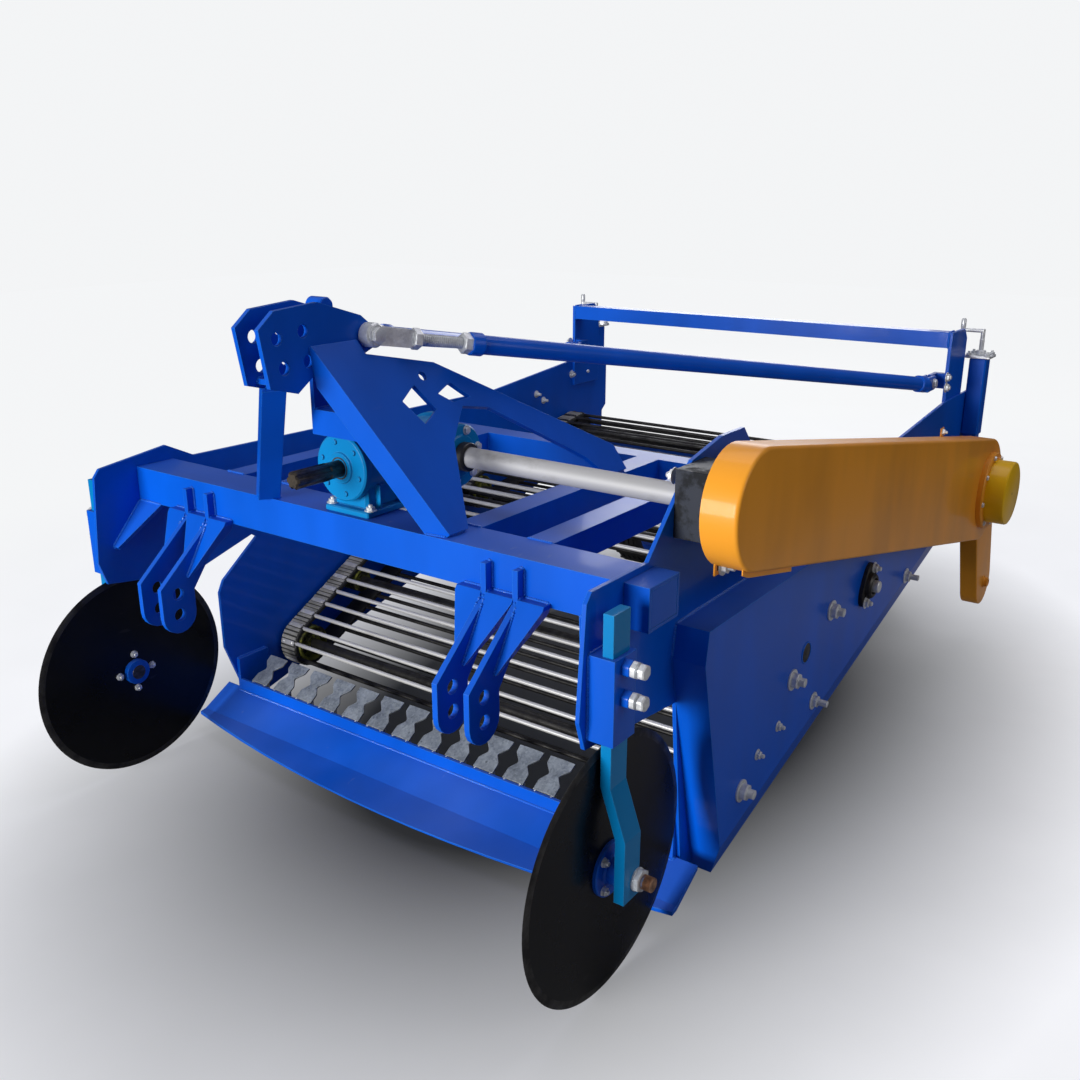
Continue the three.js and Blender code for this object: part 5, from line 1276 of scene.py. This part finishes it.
# %% Clamps, axles and posts
CLAMP_DROPS = (0.112, 0.167)
BOSS_ROWS = [(0, 0.0145, 1), (0.014, 0.0145, 1), (0.015, 0.013, 1)]
CLAMP_HEAD = [(0.0148, 0.012, 1), (0.0152, 0.0135, 1), (0.024, 0.0135, 1), (0.0245, 0.012, 1)]
CLAMP_NUT = [(0.0285, 0.011, 1), (0.029, 0.0125, 1), (0.0375, 0.0125, 1), (0.040, 0.0105, 1)]
AXLE_NUT = [(0.0, 0.021), (0.003, 0.021), (0.003, 0.0185, 1), (0.0125, 0.0185, 1), (0.0135, 0.016, 1)]
AXLE_SINK, AXLE_REACH = 0.018, {"left": 0.018, "right": 0.034}
WALL_OUT = 0.667
PLUG_NEAR, PLUG_FAR, PLUG_INSET, TUBE_DEEP, TUBE_TALL = 0.721, 0.7248, 0.0062, 0.100, 0.080
for side, sign in PAIR:
    out = sign * X
    clamp_face, clamp_y = outer_face(f"coulter_sleeve_{side}", sign), middle(f"coulter_sleeve_{side}")[1]
    spots = [(clamp_face, clamp_y, BEAM_TOP - drop) for drop in CLAMP_DROPS]
    piece(f"clamp_bosses_{side}", copies(turned(BOSS_ROWS, (0, 0, 0), out, 30), spots), BLUE)
    stack = ((CLAMP_HEAD, 30), (thread_rows(0.024, 0.006, 0.008, 0.002), 20), (CLAMP_NUT, 30))
    bolt = joined([turned(rows, (0, 0, 0), out, facets) for rows, facets in stack])
    piece(f"clamp_bolts_{side}", copies(bolt, spots), ZINC)

    axle_end = middle(f"coulter_disc_{side}")
    axle_end[0] = outer_face(f"coulter_shank_{side}", sign) - sign * AXLE_SINK
    reach = AXLE_REACH[side]
    screw_rows = [*thread_rows(0.0125, reach - 0.013, 0.0132, 0.0018)[:-1], (reach - 0.0004, 0.0122),
                  (reach, 0.011)]
    piece(f"axle_nut_{side}", turned(AXLE_NUT, axle_end, out, 36), ZINC)
    piece(f"axle_thread_{side}", turned(screw_rows, axle_end, out, 28), RUSTY_STEEL)

    wall_x, post_y = DATUM[0] + sign * WALL_OUT, corners(f"rear_post_{side}")[0][1]
    high_spots = [(wall_x, post_y + 0.020, BEAM_TOP + up) for up in (0.068, 0.098)]
    low_spots = [(wall_x, post_y + back, BEAM_TOP - 0.020) for back in (0.030, 0.120)]
    heads, tails = bolts_at(high_spots, out, 0.012, 0.004), bolts_at(low_spots, -out, 0.012, 0.006)
    piece(f"post_bolts_{side}", joined([heads, tails]), ZINC)

    near, far = sorted((sign * PLUG_NEAR, sign * PLUG_FAR))
    plug = slab(DATUM + (near, PLUG_INSET, BEAM_TOP - TUBE_TALL + PLUG_INSET),
                DATUM + (far, TUBE_DEEP - PLUG_INSET, BEAM_TOP - PLUG_INSET), 0.0008)
    piece(f"beam_plug_{side}", plug, BLUE)
print("clamps, axles, posts and plugs")

# %% Other bolts and the mast's boss
LEFT_WALL_BOLTS = ((1.596, 0.698), (1.638, 0.670))
MAST_BOSS = (-0.036, 0.030, BEAM_TOP + 0.405)
MAST_BOSS_ROWS = [(-0.030, 0.016), (-0.028, 0.018), (0.010, 0.018), (0.012, 0.016)]
HOUSING_BOLTS = [(y, z) for y in (-0.042, 0.042) for z in (-0.046, 0.046)]
left_face, right_face = outer_face("side_wall_left", 1), outer_face("side_wall_right", -1)
left_spots = [(left_face, DATUM[1] + y, z) for y, z in LEFT_WALL_BOLTS]
piece("left_wall_bolts", bolts_at(left_spots, X, 0.010, 0.012), ZINC)
piece("mast_boss", turned(MAST_BOSS_ROWS, at(*MAST_BOSS), X, 36), BLUE)
housing_spots = [(right_face, SHAFT_Y + y, DRIVE_Z + z) for y, z in HOUSING_BOLTS]
piece("bearing_housing_bolts", bolts_at(housing_spots, -X, 0.012, 0.006), ZINC)
print("left wall, mast and housing")

# %% [markdown]
# ## Floor
# The floor is a pale sheet that isn't part of the machine. Its colour and its glow are dark under the
# machine, a painted shadow, and pale further out.

# %% Floor and counts
SHADE_HALF_X, SHADE_HALF_Y = 0.8, 1.25
PAINTED_SHADOW_GLOW, RIM_GLOW = (0.006, 0.007, 0.008), (0.62, 0.63, 0.65)
pale = Finish("pale_floor")
flat_scale = (1 / SHADE_HALF_X, 1 / SHADE_HALF_Y, 0.0)
flat_place = pale.node("ShaderNodeMapping", {}, {"Vector": pale.place, "Scale": flat_scale})[0]
away = pale.node("ShaderNodeVectorMath", {"operation": "LENGTH"}, {0: flat_place})["Value"]
# Near the machine the floor's colour and glow go dark: a painted shadow under the machine.
near, far = away.between(0.7, 1.7), away.between(1.6, 4.0)
glow = pale.mix(far, pale.mix(near, PAINTED_SHADOW_GLOW, RIM_GLOW), BACKDROP_COLOUR)
soil = pale.noise(3.0, 3.0).between(0.3, 0.7)
sheet = pale.mix(near, (0.07, 0.07, 0.075), pale.mix(soil, (0.44, 0.44, 0.45), (0.50, 0.50, 0.51)))
seen = pale.node("ShaderNodeLightPath", {}, {})["Is Camera Ray"]
pale.set(Base_Color=pale.mix(far, sheet, (0.01, 0.01, 0.01)), Roughness=0.9,
         Emission_Color=pale.mix(seen, (0.0, 0.0, 0.0), glow), Emission_Strength=1.0, Specular_IOR_Level=0.1)
floor_mesh = bpy.data.meshes.new("floor")
rim = [(x * FLOOR_HALF, y * FLOOR_HALF, 0) for x, y in ((-1, -1), (1, -1), (1, 1), (-1, 1))]
floor_mesh.from_pydata(rim, [], [(0, 1, 2, 3)])
floor_mesh.materials.append(pale.material)
floor = bpy.data.objects.new("floor", floor_mesh)
bpy.context.scene.collection.objects.link(floor)

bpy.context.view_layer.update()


print("pieces", len(tally), "triangles", sum(count for _, count in tally))
print("largest", max(tally, key=lambda entry: entry[1]))
